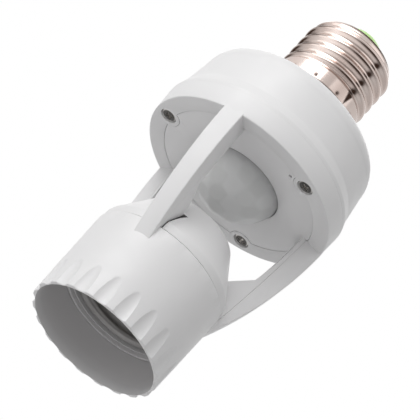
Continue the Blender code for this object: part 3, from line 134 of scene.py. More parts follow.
def soften(corners, cuts, closed=True, steps=4):
    """Each corner becomes (1-t)^2 a + 2t(1-t) corner + t^2 b, with a and b a cut's length away from it."""
    corners = np.asarray(corners, float) * MM
    cuts = np.broadcast_to(np.asarray(cuts, float) * MM, len(corners))[:, None]
    before, after = np.roll(corners, 1, 0) - corners, np.roll(corners, -1, 0) - corners
    start, end = corners + unit(before) * cuts, corners + unit(after) * cuts
    if not closed:
        start[0] = end[0] = corners[0]
        start[-1] = end[-1] = corners[-1]
    t = np.linspace(0, 1, steps + 1)[None, :, None]
    curve = (1 - t) ** 2 * start[:, None] + 2 * t * (1 - t) * corners[:, None] + t**2 * end[:, None]
    curve = curve.reshape(-1, 2)
    fresh = np.linalg.norm(curve - np.roll(curve, 1, 0), axis=1) > 1e-7
    return curve[fresh]


def spaced(profile, gap):
    """The same profile with a point at least every gap, by linear interpolation along its length."""
    length = np.r_[0, np.cumsum(np.linalg.norm(np.diff(profile, axis=0), axis=1))]
    stops = np.unique(np.r_[length, np.arange(0, length[-1], gap)])
    stops = stops[np.r_[True, np.diff(stops) > 1e-6]]
    return np.stack([np.interp(stops, length, profile[:, i]) for i in (0, 1)], -1)


print("points on a square with soft corners:", len(soften([(0, 0), (1, 0), (1, 1), (0, 1)], 0.2)))

# %% [markdown]
# ## Turned surfaces, and putting a piece in its place
#
# Most of this object is round, so its rings are circles about the lamp's axis. A finished
# piece gets its material, moves with a body of the CAD model, and hides the solids that it
# stands for. A value such as painted shade is stored in the mesh for every point.

# %% Turned rings and pieces
def turned_rings(radius, height, angles):
    """Ring of radius r at height z: (r cos a, r sin a, z). Radius and height may change with the angle."""
    radius, height, angles = np.broadcast_arrays(radius, height, angles)
    return np.stack([radius * np.cos(angles), radius * np.sin(angles), height], -1)


def full_turn(count):
    """Angles at even steps from 0 up to, but without, a whole turn."""
    return np.linspace(0, 2 * math.pi, count, endpoint=False)


def turned(name, corners, cuts, count=192, steps=4, loop=True, centre=(0, 0)):
    """A soft-cornered profile turned about an upright axis, which is the lamp's unless a centre is given."""
    profile = soften(corners, cuts, closed=loop, steps=steps)
    rings = turned_rings(profile[:, :1], profile[:, 1:], full_turn(count))
    return skin(name, rings + np.array([*centre, 0.0]), loop=loop)


def carry(piece, name, values):
    """Stores one value for each point of the piece, in the order of its rings."""
    layer = piece.data.attributes.new(name, "FLOAT", "POINT")
    filled = np.zeros(len(piece.data.vertices), np.float32)
    filled[: values.size] = values.ravel()
    layer.data.foreach_set("value", filled)


def put(piece, finish, slot, *nodes):
    """Gives a piece its finish, lets it ride, and hides the nodes it stands for. The slot is not used."""
    piece.data.materials.append(finish)
    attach(piece, BODY)
    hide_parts(*nodes)
    print(f"{piece.name}: {len(piece.data.polygons)} faces, {len(piece.data.vertices)} points")


print("a turn in four steps, in degrees:", np.degrees(full_turn(4)))

# %% [markdown]
# ## Finishes: how a material is put together
#
# A finish is a small network of nodes. It reads Object coordinates, which stay with the
# piece, or a value that the surface carries. Helpers keep the network short to write.

# %% Nodes
def blank_finish(name, roughness, metallic=0.0):
    """A new material with its node tree and its main shader."""
    finish = bpy.data.materials.new(name)
    finish.use_nodes = True
    shader = finish.node_tree.nodes["Principled BSDF"]
    shader.inputs["Roughness"].default_value = roughness
    shader.inputs["Metallic"].default_value = metallic
    return finish, finish.node_tree, shader


def add_node(tree, kind, inputs=None, **settings):
    """A node with its settings, and its inputs set to a value or joined to another node's output."""
    made = tree.nodes.new("ShaderNode" + kind)
    for key, value in settings.items():
        setattr(made, key, value)
    for key, value in (inputs or {}).items():
        if isinstance(value, bpy.types.NodeSocket):
            tree.links.new(value, made.inputs[key])
        else:
            made.inputs[key].default_value = value
    return made


def object_place(tree):
    """The point's place on its own object, in metres."""
    return add_node(tree, "TexCoord").outputs["Object"]


def carried(tree, name):
    """A value that the surface carries."""
    return add_node(tree, "Attribute", attribute_name=name).outputs["Fac"]


print("nodes for Blender", bpy.app.version_string)

# %% [markdown]
# ## Finishes: noise, colour and bump
#
# Noise moves colour and roughness a little, and a very fine noise becomes a bump. Object
# coordinates are metres, so a scale of 1000 makes spots about a millimetre wide. A noise
# value is mostly between 0.3 and 0.7, and is stretched to the range needed.

# %% Noise, colour and bump
def noise(tree, place, scale, detail=2.0, rough=0.5, stretch=(1.0, 1.0, 1.0)):
    """Noise of a size, stretched by scaling the coordinates it reads."""
    mapping = add_node(tree, "Mapping", {"Vector": place, "Scale": stretch})
    values = {"Vector": mapping.outputs["Vector"], "Scale": scale, "Detail": detail, "Roughness": rough}
    return add_node(tree, "TexNoise", values).outputs["Fac"]


def spread(tree, value, low, high, start=0.3, end=0.7):
    """Moves a value in a straight line: start becomes low and end becomes high, and it stops there."""
    values = {"Value": value, "From Min": start, "From Max": end, "To Min": low, "To Max": high}
    return add_node(tree, "MapRange", values).outputs["Result"]


def larger(tree, first, second):
    """The larger of two values."""
    return add_node(tree, "Math", {0: first, 1: second}, operation="MAXIMUM").outputs[0]


def colour_socket(sockets, name):
    """The socket of that name for a colour, because a Mix node has one of each type."""
    return next(socket for socket in sockets if socket.name == name and socket.type == "RGBA")


def two_colours(tree, share, first, second):
    """(1 - share) of the first plus share of the second; each is a colour or another node's output."""
    mix = add_node(tree, "Mix", {"Factor": share}, data_type="RGBA")
    for name, colour in (("A", first), ("B", second)):
        socket = colour_socket(mix.inputs, name)
        if isinstance(colour, bpy.types.NodeSocket):
            tree.links.new(colour, socket)
        else:
            socket.default_value = (*colour, 1.0)
    return colour_socket(mix.outputs, "Result")


def dress(tree, shader, colour, roughness, height, strength, distance):
    """Joins colour and roughness to the shader, and shades it as if height times distance stood out."""
    bump = add_node(tree, "Bump", {"Height": height, "Strength": strength, "Distance": distance})
    for name, value in (("Base Color", colour), ("Roughness", roughness), ("Normal", bump.outputs["Normal"])):
        tree.links.new(value, shader.inputs[name])


print("noise scale for spots a millimetre wide:", 1 / MM)

# %% [markdown]
# ## White plastic
#
# The mouldings are white plastic with a fine satin texture from the mould. The colour
# wanders a little, as in real mouldings, and so does the roughness, so a highlight is never
# quite even. Shade is painted into the barrel's bore: a value named inside darkens it there.

# %% White plastic
# The third colour is the painted shade of the barrel's bore.
WHITE, WHITE_SHADE, BORE_SHADE = (0.800, 0.795, 0.797), (0.775, 0.770, 0.775), (0.57, 0.56, 0.565)
CLOUD_SCALE, SAND_SCALE, SAND_DEPTH = 55.0, 2600.0, 0.06 * MM


def moulded_plastic(name, colour, shade, roughness=0.42, grain=0.1, inside=None):
    """Wide noise mixes two near colours, smaller noise moves the roughness, and fine noise is the bump."""
    finish, tree, shader = blank_finish(name, roughness)
    place = object_place(tree)
    cloud = noise(tree, place, CLOUD_SCALE, 4.0, 0.55)
    tone = two_colours(tree, spread(tree, cloud, 0.0, 1.0), colour, shade)
    # The value inside mixes in a darker colour: painted shade in the barrel's bore.
    if inside:
        tone = two_colours(tree, carried(tree, "inside"), tone, inside)
    rough = spread(tree, noise(tree, place, CLOUD_SCALE * 4, 3.0), roughness - 0.05, roughness + 0.07)
    dress(tree, shader, tone, rough, noise(tree, place, SAND_SCALE, 2.0, 0.6), grain, SAND_DEPTH)
    return finish


white_plastic = moulded_plastic("White plastic", WHITE, WHITE_SHADE)
bore_shaded_plastic = moulded_plastic("White plastic with a dull bore", WHITE, WHITE_SHADE, inside=BORE_SHADE)
grey_plastic = moulded_plastic("Grey insulation", (0.60, 0.60, 0.59), (0.55, 0.55, 0.55), 0.5, 0.15)
base_plastic = moulded_plastic("Dark grey insulation", (0.36, 0.355, 0.355), (0.31, 0.31, 0.31), 0.5, 0.15)
print("plastics:", len(bpy.data.materials))

# %% [markdown]
# ## Nickel plate
#
# The cap is thin sheet, rolled to a thread and plated with nickel. The plating has a warm
# tint, and fine lines run round it from the rolling. The surface carries a value named
# root, up to 1 where dark reflections and shade are painted, and there the finish is dark,
# matt and no longer bare metal.

# %% Nickel plate
def nickel_plate(name, bright, warm, reflection_shade_colour):
    """Noise mixes two tints, and the value root mixes in painted dark reflections and shade, takes metal away
    and adds roughness.
    """
    finish, tree, shader = blank_finish(name, 0.16, 1.0)
    place, root = object_place(tree), carried(tree, "root")
    cloud = noise(tree, place, 160.0, 3.0, 0.5, (1.0, 1.0, 0.5))
    plate = two_colours(tree, spread(tree, cloud, 0.0, 1.0), bright, warm)
    tree.links.new(spread(tree, root, 1.0, 0.1, 0.5, 0.95), shader.inputs["Metallic"])
    shader.inputs["Specular IOR Level"].default_value = 0.1
    rolled = noise(tree, place, 500.0, 3.0, 0.6, (0.15, 0.15, 6.0))
    rough = larger(tree, spread(tree, rolled, 0.11, 0.22), spread(tree, root, 0.0, 0.8, 0.45, 0.9))
    # The value root mixes in the dark colour of painted reflections and shade.
    dress(tree, shader, two_colours(tree, root, plate, reflection_shade_colour), rough, rolled, 0.10, 0.05 * MM)
    return finish


# The third colour is the dark brown of painted reflections and shade.
nickel = nickel_plate("Nickel plate", (0.81, 0.715, 0.67), (0.74, 0.60, 0.545), (0.052, 0.027, 0.018))
print("metal:", nickel.name)

# %% [markdown]
# ## Milky lens
#
# The lens is thin milky plastic that lets a little light through, so it has some
# transmission and a soft inside. A value named rim darkens it near the plate, where no
# light comes from behind, and one named flat differs a little from flat to flat.

# %% Milky lens
def milky_lens(name, thick, thin, dark):
    """The value flat mixes two tones, the value rim mixes in a darker one, and noise moves the roughness."""
    finish, tree, shader = blank_finish(name, 0.40)
    place = object_place(tree)
    tone = two_colours(tree, carried(tree, "flat"), thick, thin)
    tone = two_colours(tree, carried(tree, "rim"), tone, dark)
    shader.inputs["Transmission Weight"].default_value = 0.05
    shader.inputs["Specular IOR Level"].default_value = 0.2
    shader.inputs["Subsurface Weight"].default_value = 0.15
    shader.inputs["Subsurface Radius"].default_value = (0.002, 0.002, 0.002)
    rough = spread(tree, noise(tree, place, 260.0, 3.0, 0.6), 0.34, 0.46)
    dress(tree, shader, tone, rough, noise(tree, place, 900.0, 2.0), 0.05, 0.1 * MM)
    return finish


milky = milky_lens("Milky lens", (0.69, 0.695, 0.69), (0.79, 0.795, 0.795), (0.51, 0.51, 0.515))
print("lens finish:", milky.name)

# %% [markdown]
# ## Green insulator, small metals and components
#
# The insulator at the end of the cap is bright green, and the contacts are brass. The
# small pieces share one kind of finish, and its noise keeps each of them a little uneven.

# %% Small finishes
def glossy(name, colour, shade, roughness, metallic=0.0, scale=300.0, stretch=(1.0, 1.0, 1.0)):
    """One noise mixes two near colours, moves the roughness by -0.05 to +0.08, and is a weak bump."""
    finish, tree, shader = blank_finish(name, roughness, metallic)
    cloud = noise(tree, object_place(tree), scale, 3.0, 0.55, stretch)
    tone = two_colours(tree, spread(tree, cloud, 0.0, 1.0), colour, shade)
    dress(tree, shader, tone, spread(tree, cloud, roughness - 0.05, roughness + 0.08), cloud, 0.08, 0.04 * MM)
    return finish


ALONG, AROUND = (1.0, 0.2, 1.0), (0.3, 0.3, 3.0)
green = glossy("Green insulator", (0.36, 0.66, 0.10), (0.29, 0.58, 0.07), 0.28)
steel = glossy("Zinc-plated screw", (0.62, 0.60, 0.57), (0.45, 0.43, 0.41), 0.26, 1.0, 1200.0)
brass = glossy("Brass", (0.80, 0.62, 0.33), (0.70, 0.50, 0.24), 0.22, 1.0, 800.0)
board_green = glossy("Board lacquer", (0.04, 0.22, 0.09), (0.03, 0.16, 0.06), 0.35, 0.0, 700.0, ALONG)
dark_case = glossy("Dark case", (0.03, 0.03, 0.032), (0.05, 0.05, 0.05), 0.45, 0.0, 900.0)
blue_case = glossy("Blue case", (0.05, 0.16, 0.42), (0.04, 0.12, 0.36), 0.35)
ochre_case = glossy("Ochre case", (0.55, 0.30, 0.08), (0.48, 0.25, 0.06), 0.35)
dull_sheet = glossy("Dull nickel sheet", (0.34, 0.33, 0.325), (0.29, 0.28, 0.275), 0.5, 0.15, 400.0, AROUND)
red_sleeve = glossy("Red insulation", (0.20, 0.012, 0.012), (0.16, 0.012, 0.012), 0.45)
blue_sleeve = glossy("Blue insulation", (0.06, 0.13, 0.50), (0.05, 0.10, 0.42), 0.40)
print("finishes:", len(bpy.data.materials))

# %% [markdown]
# ## The barrel's fluted wall
#
# Twenty hollows around the mouth give a grip. Each is what half an egg would scoop out of
# the wall: deep at the rim, and gone at a round tip. The columns of the grid follow the
# edges of each hollow, so they stay crisp all the way to the tip.

# %% Fluted wall
BARREL_HEIGHT, MOUTH_RADIUS, BARREL_RADIUS = 26.2 * MM, 19.4 * MM, 19.9 * MM
FLUTES, FLUTE_START, FLUTE_HEIGHT = 20, math.radians(10.4), 8.5 * MM
FLUTE_DEPTH, EGG_RADIUS = 0.75 * MM, 3.5 * MM
EGG_CENTRE = MOUTH_RADIUS - FLUTE_DEPTH + EGG_RADIUS
NARROWEST = 0.006


def barrel_wall(height):
    """Straight taper: the mouth's radius plus a share of the difference by height."""
    return MOUTH_RADIUS + (BARREL_RADIUS - MOUTH_RADIUS) * height / BARREL_HEIGHT


EGG_HALF_LENGTH = FLUTE_HEIGHT / math.sqrt(1 - ((EGG_CENTRE - barrel_wall(FLUTE_HEIGHT)) / EGG_RADIUS) ** 2)
print("half the egg's length in mm:", EGG_HALF_LENGTH / MM)


def fluted(height):
    """Angles and radii of one ring. Inside a flute the radius is c cos a - sqrt(egg^2 - c^2 sin^2 a)."""
    wall = barrel_wall(height)
    egg = EGG_RADIUS * np.sqrt(np.clip(1 - (height / EGG_HALF_LENGTH) ** 2, 0, 1))
    reach = (wall**2 + EGG_CENTRE**2 - egg**2) / (2 * wall * EGG_CENTRE)
    half = np.maximum(np.arccos(np.clip(reach, -1, 1)), NARROWEST)
    pitch = 2 * math.pi / FLUTES
    across = half * np.linspace(-1, 1, 13)
    land = half + (pitch - 2 * half) * np.linspace(0, 1, 8)[1:-1]
    under = np.maximum(egg**2 - (EGG_CENTRE * np.sin(across)) ** 2, 0)
    scoop = np.minimum(wall, EGG_CENTRE * np.cos(across) - np.sqrt(under))
    one_angle = np.concatenate([across, land], -1)
    one_radius = np.concatenate([scoop, wall + 0 * land], -1)
    starts = FLUTE_START + pitch * np.arange(FLUTES)
    angles = (starts[:, None] + one_angle[..., None, :]).reshape(*one_angle.shape[:-1], -1)
    radii = np.broadcast_to(one_radius[..., None, :], (*one_radius.shape[:-1], FLUTES, one_radius.shape[-1]))
    return angles, radii.reshape(angles.shape)


# %% [markdown]
# ## Barrel
#
# The barrel is one closed skin: down the fluted wall, round the rim's edge, up the smooth
# bore over its ledge, and back over the top. The bore repeats the angles of the rim.

# %% Barrel
SOFT_EDGE = 0.22 * MM
# Shade is painted into the bore inside this radius, fading in over a short run up from the rim.
BORE_MIDDLE, BORE_SHADE_RAMP = 18.9 * MM, 3 * MM
BORE_PROFILE = [(18.25, 0), (17.3, 10.5), (17.3, 11.6), (17.0, 11.6), (17.0, 10.5), (16.15, 10.5),
                (16.1, 11.7), (15.5, 11.7), (15.5, 11.2), (15.2, 11.2), (15.2, 26.2)]
BORE_CUTS = [0.25, 0.05, 0.05, 0.05, 0.2, 0.2, 0.1, 0.05, 0.1, 0.1, 0]


def barrel_rings():
    """Rows down the fluted wall, a quarter circle round the rim, and rows up the bore and over the top."""
    upper = np.linspace(BARREL_HEIGHT - SOFT_EDGE, FLUTE_HEIGHT * 1.02, 7)
    lower = np.linspace(FLUTE_HEIGHT, SOFT_EDGE, 34)
    heights = np.r_[upper, lower][:, None]
    angles, radii = fluted(heights)
    bend = np.linspace(0, math.pi / 2, 5)[1:, None]
    rim_angle, rim_radius = fluted(np.zeros((1, 1)))
    rim = rim_radius - SOFT_EDGE * (1 - np.cos(bend))
    rim_heights = SOFT_EDGE * (1 - np.sin(bend))
    inner = soften(BORE_PROFILE, BORE_CUTS, closed=False, steps=3)
    inner = spaced(np.vstack([[18.5 * MM, 0.0], inner[1:]]), 2.5 * MM)
    top = np.array([(BARREL_RADIUS - edge, BARREL_HEIGHT - drop) for edge, drop in
                    ((SOFT_EDGE, 0.0), (SOFT_EDGE * 0.3, SOFT_EDGE * 0.3))])
    plain = np.vstack([inner, top])
    row_angles = np.vstack([angles, np.repeat(rim_angle, len(rim) + len(plain), 0)])
    row_radii = np.vstack([radii, rim, np.repeat(plain[:, :1], radii.shape[1], 1)])
    row_heights = np.vstack([heights, rim_heights, plain[:, 1:]])
    outside_rows = len(radii) + len(rim)
    return turned_rings(row_radii, row_heights, row_angles), outside_rows


rings, outside_rows = barrel_rings()
barrel = skin("fluted_barrel", rings, loop=True, sharp=26.0)
from_axis = np.hypot(rings[..., 0], rings[..., 1])
# Painted shade in the bore: nil at the rim, full a short way up inside.
bore_shade_mask = (np.arange(len(rings)) >= outside_rows)[:, None] * (from_axis < BORE_MIDDLE)
carry(barrel, "inside", bore_shade_mask * np.clip(rings[..., 2] / BORE_SHADE_RAMP, 0, 1))
put(barrel, bore_shaded_plastic, "white_plastic", "cage_body")

# %% [markdown]
# ## The ring's surface
#
# The housing's lower ring turns inwards to a flange, which bulges into the plate as a
# round ear at each screw. So its inner edge is a formula of the angle: the flange's bore,
# or the near side of an ear's circle where that reaches further in.

# %% Ring surface
SCREW_ANGLES, SCREW_CIRCLE = np.radians([-30.0, 90.0, 210.0]), 24.75 * MM
FLANGE_BORE, FLANGE_THICKNESS, EAR_RADIUS = 23.7 * MM, 2.2 * MM, 3.45 * MM
RING_WALL_RADIUS, RING_OVERLAP = 27.55 * MM, 0.2 * MM
SOFT_LIP, NO_EDGE = 0.09 * MM, 1.0


def way_round(angles, centre):
    """The angle from the centre, the shorter way round, between -pi and pi."""
    return (angles - centre + math.pi) % (2 * math.pi) - math.pi


def inner_edge(angles, bore, ear):
    """The bore's radius, or the near side of an ear's circle: c cos a - sqrt(ear^2 - c^2 sin^2 a)."""
    away = way_round(angles[:, None], SCREW_ANGLES)
    under = ear**2 - (SCREW_CIRCLE * np.sin(away)) ** 2
    near = SCREW_CIRCLE * np.cos(away) - np.sqrt(np.maximum(under, 0))
    return np.minimum(bore, np.where((under > 0) & (np.abs(away) < 1), near, NO_EDGE).min(1))


def rings_of_rows(rows, angles):
    """One ring for each (radius, height) row, where a radius is a number or one for each angle."""
    radii = np.stack([np.broadcast_to(radius, angles.shape) for radius, height in rows])
    return turned_rings(radii, np.array([[height] for radius, height in rows]), angles)


def ring_rings():
    """Rows down the ring's outside, in along the flange to its edge, and back inside."""
    angles = full_turn(900)
    low, top = RING_BOTTOM / MM, RING_TOP / MM + 0.2
    outside = soften([(28.0, top), (28.84, top), (28.5, low), (27.0, low)], [0, 0.03, 0.35, 0], closed=False)
    edge, back = inner_edge(angles, FLANGE_BORE, EAR_RADIUS), RING_BOTTOM + FLANGE_THICKNESS
    lip = [(edge + SOFT_LIP, RING_BOTTOM), (edge + SOFT_LIP * 0.3, RING_BOTTOM + SOFT_LIP * 0.3),
           (edge, RING_BOTTOM + SOFT_LIP), (edge, back)]
    wall = [(RING_WALL_RADIUS, back), (RING_WALL_RADIUS, RING_TOP + RING_OVERLAP)]
    return rings_of_rows([*outside, *lip, *wall], angles)


ring = skin("housing_ring", ring_rings(), loop=True)
print("points on the ring before the cuts:", len(ring.data.vertices))

# %% [markdown]
# ## Screw recesses
#
# The screws sit in round recesses, cut with an exact Boolean and a closed cylinder. Where
# the screws are, and how deep, is read from their CAD nodes.

# %% Screw recesses
RECESS_RADIUS, RECESS_DEPTH = 2.4 * MM, 1.2 * MM


def upright_tool(name, radius, low, high, centre, count=64):
    """A closed cylinder between two heights, used as a cutting tool."""
    rings = turned_rings(radius, np.array([[high], [low]]), full_turn(count))
    return skin(name, rings + np.array([*centre, 0.0]))


def cut_away(piece, tools):
    """Takes the tools out of the piece with exact Booleans, keeps the result and deletes the tools."""
    for tool in tools:
        step = piece.modifiers.new(tool.name, "BOOLEAN")
        step.operation, step.solver, step.object = "DIFFERENCE", "EXACT", tool
    graph = bpy.context.evaluated_depsgraph_get()
    mesh = bpy.data.meshes.new_from_object(piece.evaluated_get(graph))
    piece.modifiers.clear()
    piece.data = mesh
    mesh.name = piece.name
    for tool in tools:
        bpy.data.objects.remove(tool, do_unlink=True)
    mesh.shade_smooth()
    mesh.set_sharp_from_angle(angle=math.radians(30))
    return piece


def screw_place(number):
    """Middle of a screw's box across, and the height of its underside."""
    low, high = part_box(f"housing_screw_{number}")
    return (low[0] + high[0]) / 2, (low[1] + high[1]) / 2, low[2]


recesses = []
for number in (1, 2, 3):
    x, y, head = screw_place(number)
    tool = upright_tool(f"recess_{number}", RECESS_RADIUS, RING_BOTTOM - MM, head + RECESS_DEPTH, (x, y))
    recesses.append(tool)
put(cut_away(ring, recesses), white_plastic, "white_plastic", "cage_body")

# %% [markdown]
# ## Leg surfaces
#
# A leg is a slim outer channel that bows outwards, and a strip that closes it inside. Their
# faces are lines between two points, bowed by a parabola. Below its bend, the strip turns
# into a web that slants into the dome's wall.

# %% Leg surfaces
FOOT_HEIGHT, FOOT_SINK, FOOT_WIDTH, TOP_WIDTH = 21.3 * MM, 0.25 * MM, 4.8 * MM, 5.8 * MM
LEG_TOP, LEG_BULGE = (28.5 * MM, RING_BOTTOM), 1.9 * MM
SEAM_TOP, SEAM_FOOT, SEAM_BULGE = (23.1 * MM, RING_BOTTOM), (20.0 * MM, 28.8 * MM), 0.35 * MM
STRIP_TOP, STRIP_BEND, STRIP_BULGE = (22.0 * MM, RING_BOTTOM), (20.0 * MM, 42.5 * MM), 0.4 * MM
WEB_FOOT, WALL_FOOT = (14.35 * MM, 36.05 * MM), (18.65 * MM, 29.1 * MM)


def bowed(height, top, foot, bulge=0.0):
    """A straight line between two (radius, height) points plus a parabola that is nil at both."""
    share = (height - foot[1]) / (top[1] - foot[1])
    return foot[0] + (top[0] - foot[0]) * share + bulge * 4 * share * (1 - share)


def leg_face(height):
    """Outer face: from the ring's foot to just inside the barrel's wall, bowed out."""
    return bowed(height, LEG_TOP, (barrel_wall(FOOT_HEIGHT) - FOOT_SINK, FOOT_HEIGHT), LEG_BULGE)


def leg_seam(height):
    """Where channel and strip meet: a flatter bow from inside the ring to the top of the barrel's collar."""
    return bowed(height, SEAM_TOP, SEAM_FOOT, SEAM_BULGE)


def strip_face(height):
    """Inner face: the bowed strip, then the web's slanting edge, then a line inside the dome's wall."""
    strip = bowed(height, STRIP_TOP, STRIP_BEND, STRIP_BULGE)
    web = bowed(height, STRIP_BEND, WEB_FOOT)
    in_wall = bowed(np.maximum(height, WALL_FOOT[1]), WEB_FOOT, WALL_FOOT)
    return np.where(height > STRIP_BEND[1], strip, np.maximum(web, in_wall))


def leg_width(height):
    """A straight line from the width at the foot to the width at the ring."""
    height = np.clip(height, FOOT_HEIGHT, RING_BOTTOM)
    return bowed(height, (TOP_WIDTH, RING_BOTTOM), (FOOT_WIDTH, FOOT_HEIGHT))


print("leg's thickness at the ring in mm:", (leg_face(RING_BOTTOM) - leg_seam(RING_BOTTOM)) / MM)

# %% [markdown]
# ## Leg channels and strips
#
# Both are a rounded rectangle carried down a path. The channel's foot fades into the
# barrel's wall. The thin dark line between channel and strip is a real gap.

# %% Leg channels and strips
IN_BARREL, SEAM_GAP = 17.6 * MM, 0.03 * MM
channel_heights = np.r_[np.linspace(RING_BOTTOM + 1.0 * MM, BARREL_HEIGHT, 60),
                        np.linspace(25.9 * MM, FOOT_HEIGHT + 0.1 * MM, 12)]
strip_turns = np.array([29.1, 42.2, 42.5, 42.8]) * MM
strip_heights = np.unique(np.r_[np.linspace(RING_BOTTOM + 0.6 * MM, 26.6 * MM, 60), strip_turns])[::-1]


def at_leg(angle, out, side, heights):
    """Points out from the axis and to the side of a leg: (o cos a - s sin a, o sin a + s cos a, z)."""
    x = out * math.cos(angle) - side * math.sin(angle)
    y = out * math.sin(angle) + side * math.cos(angle)
    return np.stack([x, y, heights[:, None] + 0 * x], -1)


def bar_rings(angle, heights, outer, inner, width, corners):
    """Rounded rectangles in level planes: corner centres plus quarter circles."""
    turn = np.linspace(0, math.pi / 2, 5)
    quarter = np.concatenate([turn, turn + math.pi / 2, turn + math.pi, turn + 1.5 * math.pi])
    side = np.repeat([(1, 1), (-1, 1), (-1, -1), (1, -1)], 5, axis=0)
    middle, depth = (outer + inner)[:, None] / 2, (outer - inner)[:, None] / 2
    corner = np.minimum(np.where(side[:, 0] > 0, *corners), depth * 0.8)
    radial = middle + side[:, 0] * (depth - corner) + corner * np.cos(quarter)
    sideways = side[:, 1] * (width[:, None] / 2 - corner) + corner * np.sin(quarter)
    return at_leg(angle, radial, sideways, heights)


for number, angle in enumerate(LEG_ANGLES, start=1):
    inside = np.where(channel_heights >= BARREL_HEIGHT, leg_seam(channel_heights), IN_BARREL)
    outer, wide = leg_face(np.minimum(channel_heights, RING_BOTTOM)), leg_width(channel_heights)
    channel = bar_rings(angle, channel_heights, outer, inside, wide, (0.3 * MM, 0.1 * MM))
    put(skin(f"leg_channel_{number}", channel), white_plastic, "white_plastic", "cage_body")
    closing, face = leg_seam(strip_heights) - SEAM_GAP, strip_face(strip_heights)
    strip = bar_rings(angle, strip_heights, closing, face, leg_width(strip_heights), (0.1 * MM, 0.2 * MM))
    put(skin(f"leg_strip_{number}", strip), white_plastic, "white_plastic", "inner_cage")

# %% [markdown]
# ## Plate
#
# The plate closes the housing round the lens. Its edge steps back round the ears and the
# roots of the legs, which leaves thin dark seams between the two mouldings. A small hole
# next to a screw lets light reach the light sensor.

# %% Plate
PLATE_GAP, PLATE_THICKNESS, LENS_HOLE = 0.1 * MM, 1.75 * MM, 12.62 * MM
ROOT_RADIUS, ROOT_HALF_WIDTH = 23.0 * MM, 3.2 * MM
LIGHT_HOLE_CIRCLE, LIGHT_HOLE_ANGLE, LIGHT_HOLE_RADIUS = 22.1 * MM, math.radians(-39.5), 0.5 * MM


def plate_edge(angles):
    """The plate's radius, or less where an ear or a leg's root needs room."""
    edge = inner_edge(angles, FLANGE_BORE - PLATE_GAP, EAR_RADIUS + PLATE_GAP)
    away = way_round(angles[:, None], LEG_ANGLES)
    at_root = (np.abs(np.sin(away)) * ROOT_RADIUS < ROOT_HALF_WIDTH) & (np.abs(away) < 1)
    return np.minimum(edge, np.where(at_root, ROOT_RADIUS / np.cos(away), NO_EDGE).min(1))


def plate_rings():
    """Rows from the plate's edge across its underside to the lens hole and back above it."""
    angles = full_turn(900)
    bottom, top = RING_BOTTOM + PLATE_GAP, RING_BOTTOM + PLATE_THICKNESS
    edge, soft, hole = plate_edge(angles), SOFT_LIP, LENS_HOLE
    rows = [(edge, top), (edge, bottom + soft), (edge - soft * 0.3, bottom + soft * 0.3),
            (edge - soft, bottom), (18.0 * MM, bottom), (hole + 0.3 * MM, bottom),
            (hole + soft, bottom + soft), (hole, bottom + 0.3 * MM), (hole, top)]
    return rings_of_rows(rows, angles)


plate = skin("sensor_plate", plate_rings(), loop=True)
light_hole = [LIGHT_HOLE_CIRCLE * math.cos(LIGHT_HOLE_ANGLE), LIGHT_HOLE_CIRCLE * math.sin(LIGHT_HOLE_ANGLE)]
tool = upright_tool("light_hole_tool", LIGHT_HOLE_RADIUS, RING_BOTTOM - MM, RING_BOTTOM + 3 * MM,
                    light_hole, 24)
put(cut_away(plate, [tool]), white_plastic, "white_plastic", "inner_cage")

# %% [markdown]
# ## Dome
#
# The dome behind the socket is a turned profile. A slot at each leg lets the web through.
# Its tool is a box that gets wider upwards, so the slot is widest at its closed end.

# %% Dome
DOME_CORNERS = [(0.05, 41.8), (11.7, 41.8), (14.7, 36.9), (19.5, 28.8), (19.5, 26.45), (17.8, 26.45),
                (17.8, 28.5), (13.0, 36.05), (10.0, 40.1), (0.05, 40.1)]
DOME_CUTS = [0, 0.7, 2.5, 0.4, 0.1, 0.1, 0.2, 0.3, 0.3, 0]
SLOT_LEVELS, SLOT_HALF_WIDTHS = np.array([(26.0, 2.85), (30.0, 3.05), (33.2, 3.35), (35.3, 4.1)]).T * MM


def slot_tool(number, angle):
    """Four level rectangles from 12 to 21 mm out, as wide as the table says."""
    out, side = np.array([21.0, 12.0, 12.0, 21.0]) * MM, np.array([1, 1, -1, -1]) * SLOT_HALF_WIDTHS[:, None]
    return skin(f"slot_tool_{number}", at_leg(angle, out, side, SLOT_LEVELS))


dome = turned("socket_dome", DOME_CORNERS, DOME_CUTS, steps=8)
slots = [slot_tool(number, angle) for number, angle in enumerate(LEG_ANGLES, start=1)]
put(cut_away(dome, slots), white_plastic, "white_plastic", "inner_cage")

# %% [markdown]
# ## Housing cover
#
# The cover tapers up from a small lip to a crease, a broad shoulder and a flat top. It is
# one turned profile: the crease is a corner with a small cut, and the shoulder a large one.

# %% Housing cover
lip = RING_TOP / MM + 0.3
COVER_CORNERS = [(12.25, 97.0), (12.25, 85.9), (26.55, 85.9), (26.75, 80.8), (27.95, 71.0),
                 (28.86, lip + 0.9), (28.86, lip - 0.12), (26.2, lip - 0.12), (26.1, 71.0), (24.9, 80.8),
                 (24.7, 84.1), (10.4, 84.1), (10.4, 97.0)]
COVER_CUTS = [0.2, 0.3, 4.9, 0.6, 0.35, 0.15, 0.04, 0.1, 0.2, 0.2, 3.0, 0.2, 0.2]
cover = turned("housing_cover", COVER_CORNERS, COVER_CUTS, count=240, steps=10)
put(cover, white_plastic, "white_plastic", "upper_housing")

# %% [markdown]
# ## Thread
#
# The thread is a wave that climbs one pitch each turn: the radius rises and falls with the
# cosine of the height in pitches less the angle in turns. The wave fades in and out at its
# ends. Cap and socket shell share these formulas.

# %% Thread
PITCH = 3.629 * MM
CREST_HEIGHT, CREST_ANGLE = 98.9 * MM, math.radians(-148)
SKIRT_TOP, THREAD_TOP = 97.3 * MM, 113.0 * MM


def smooth(share):
    """The smooth step 3s^2 - 2s^3 of a share that is kept between 0 and 1."""
    share = np.clip(share, 0, 1)
    return share * share * (3 - 2 * share)


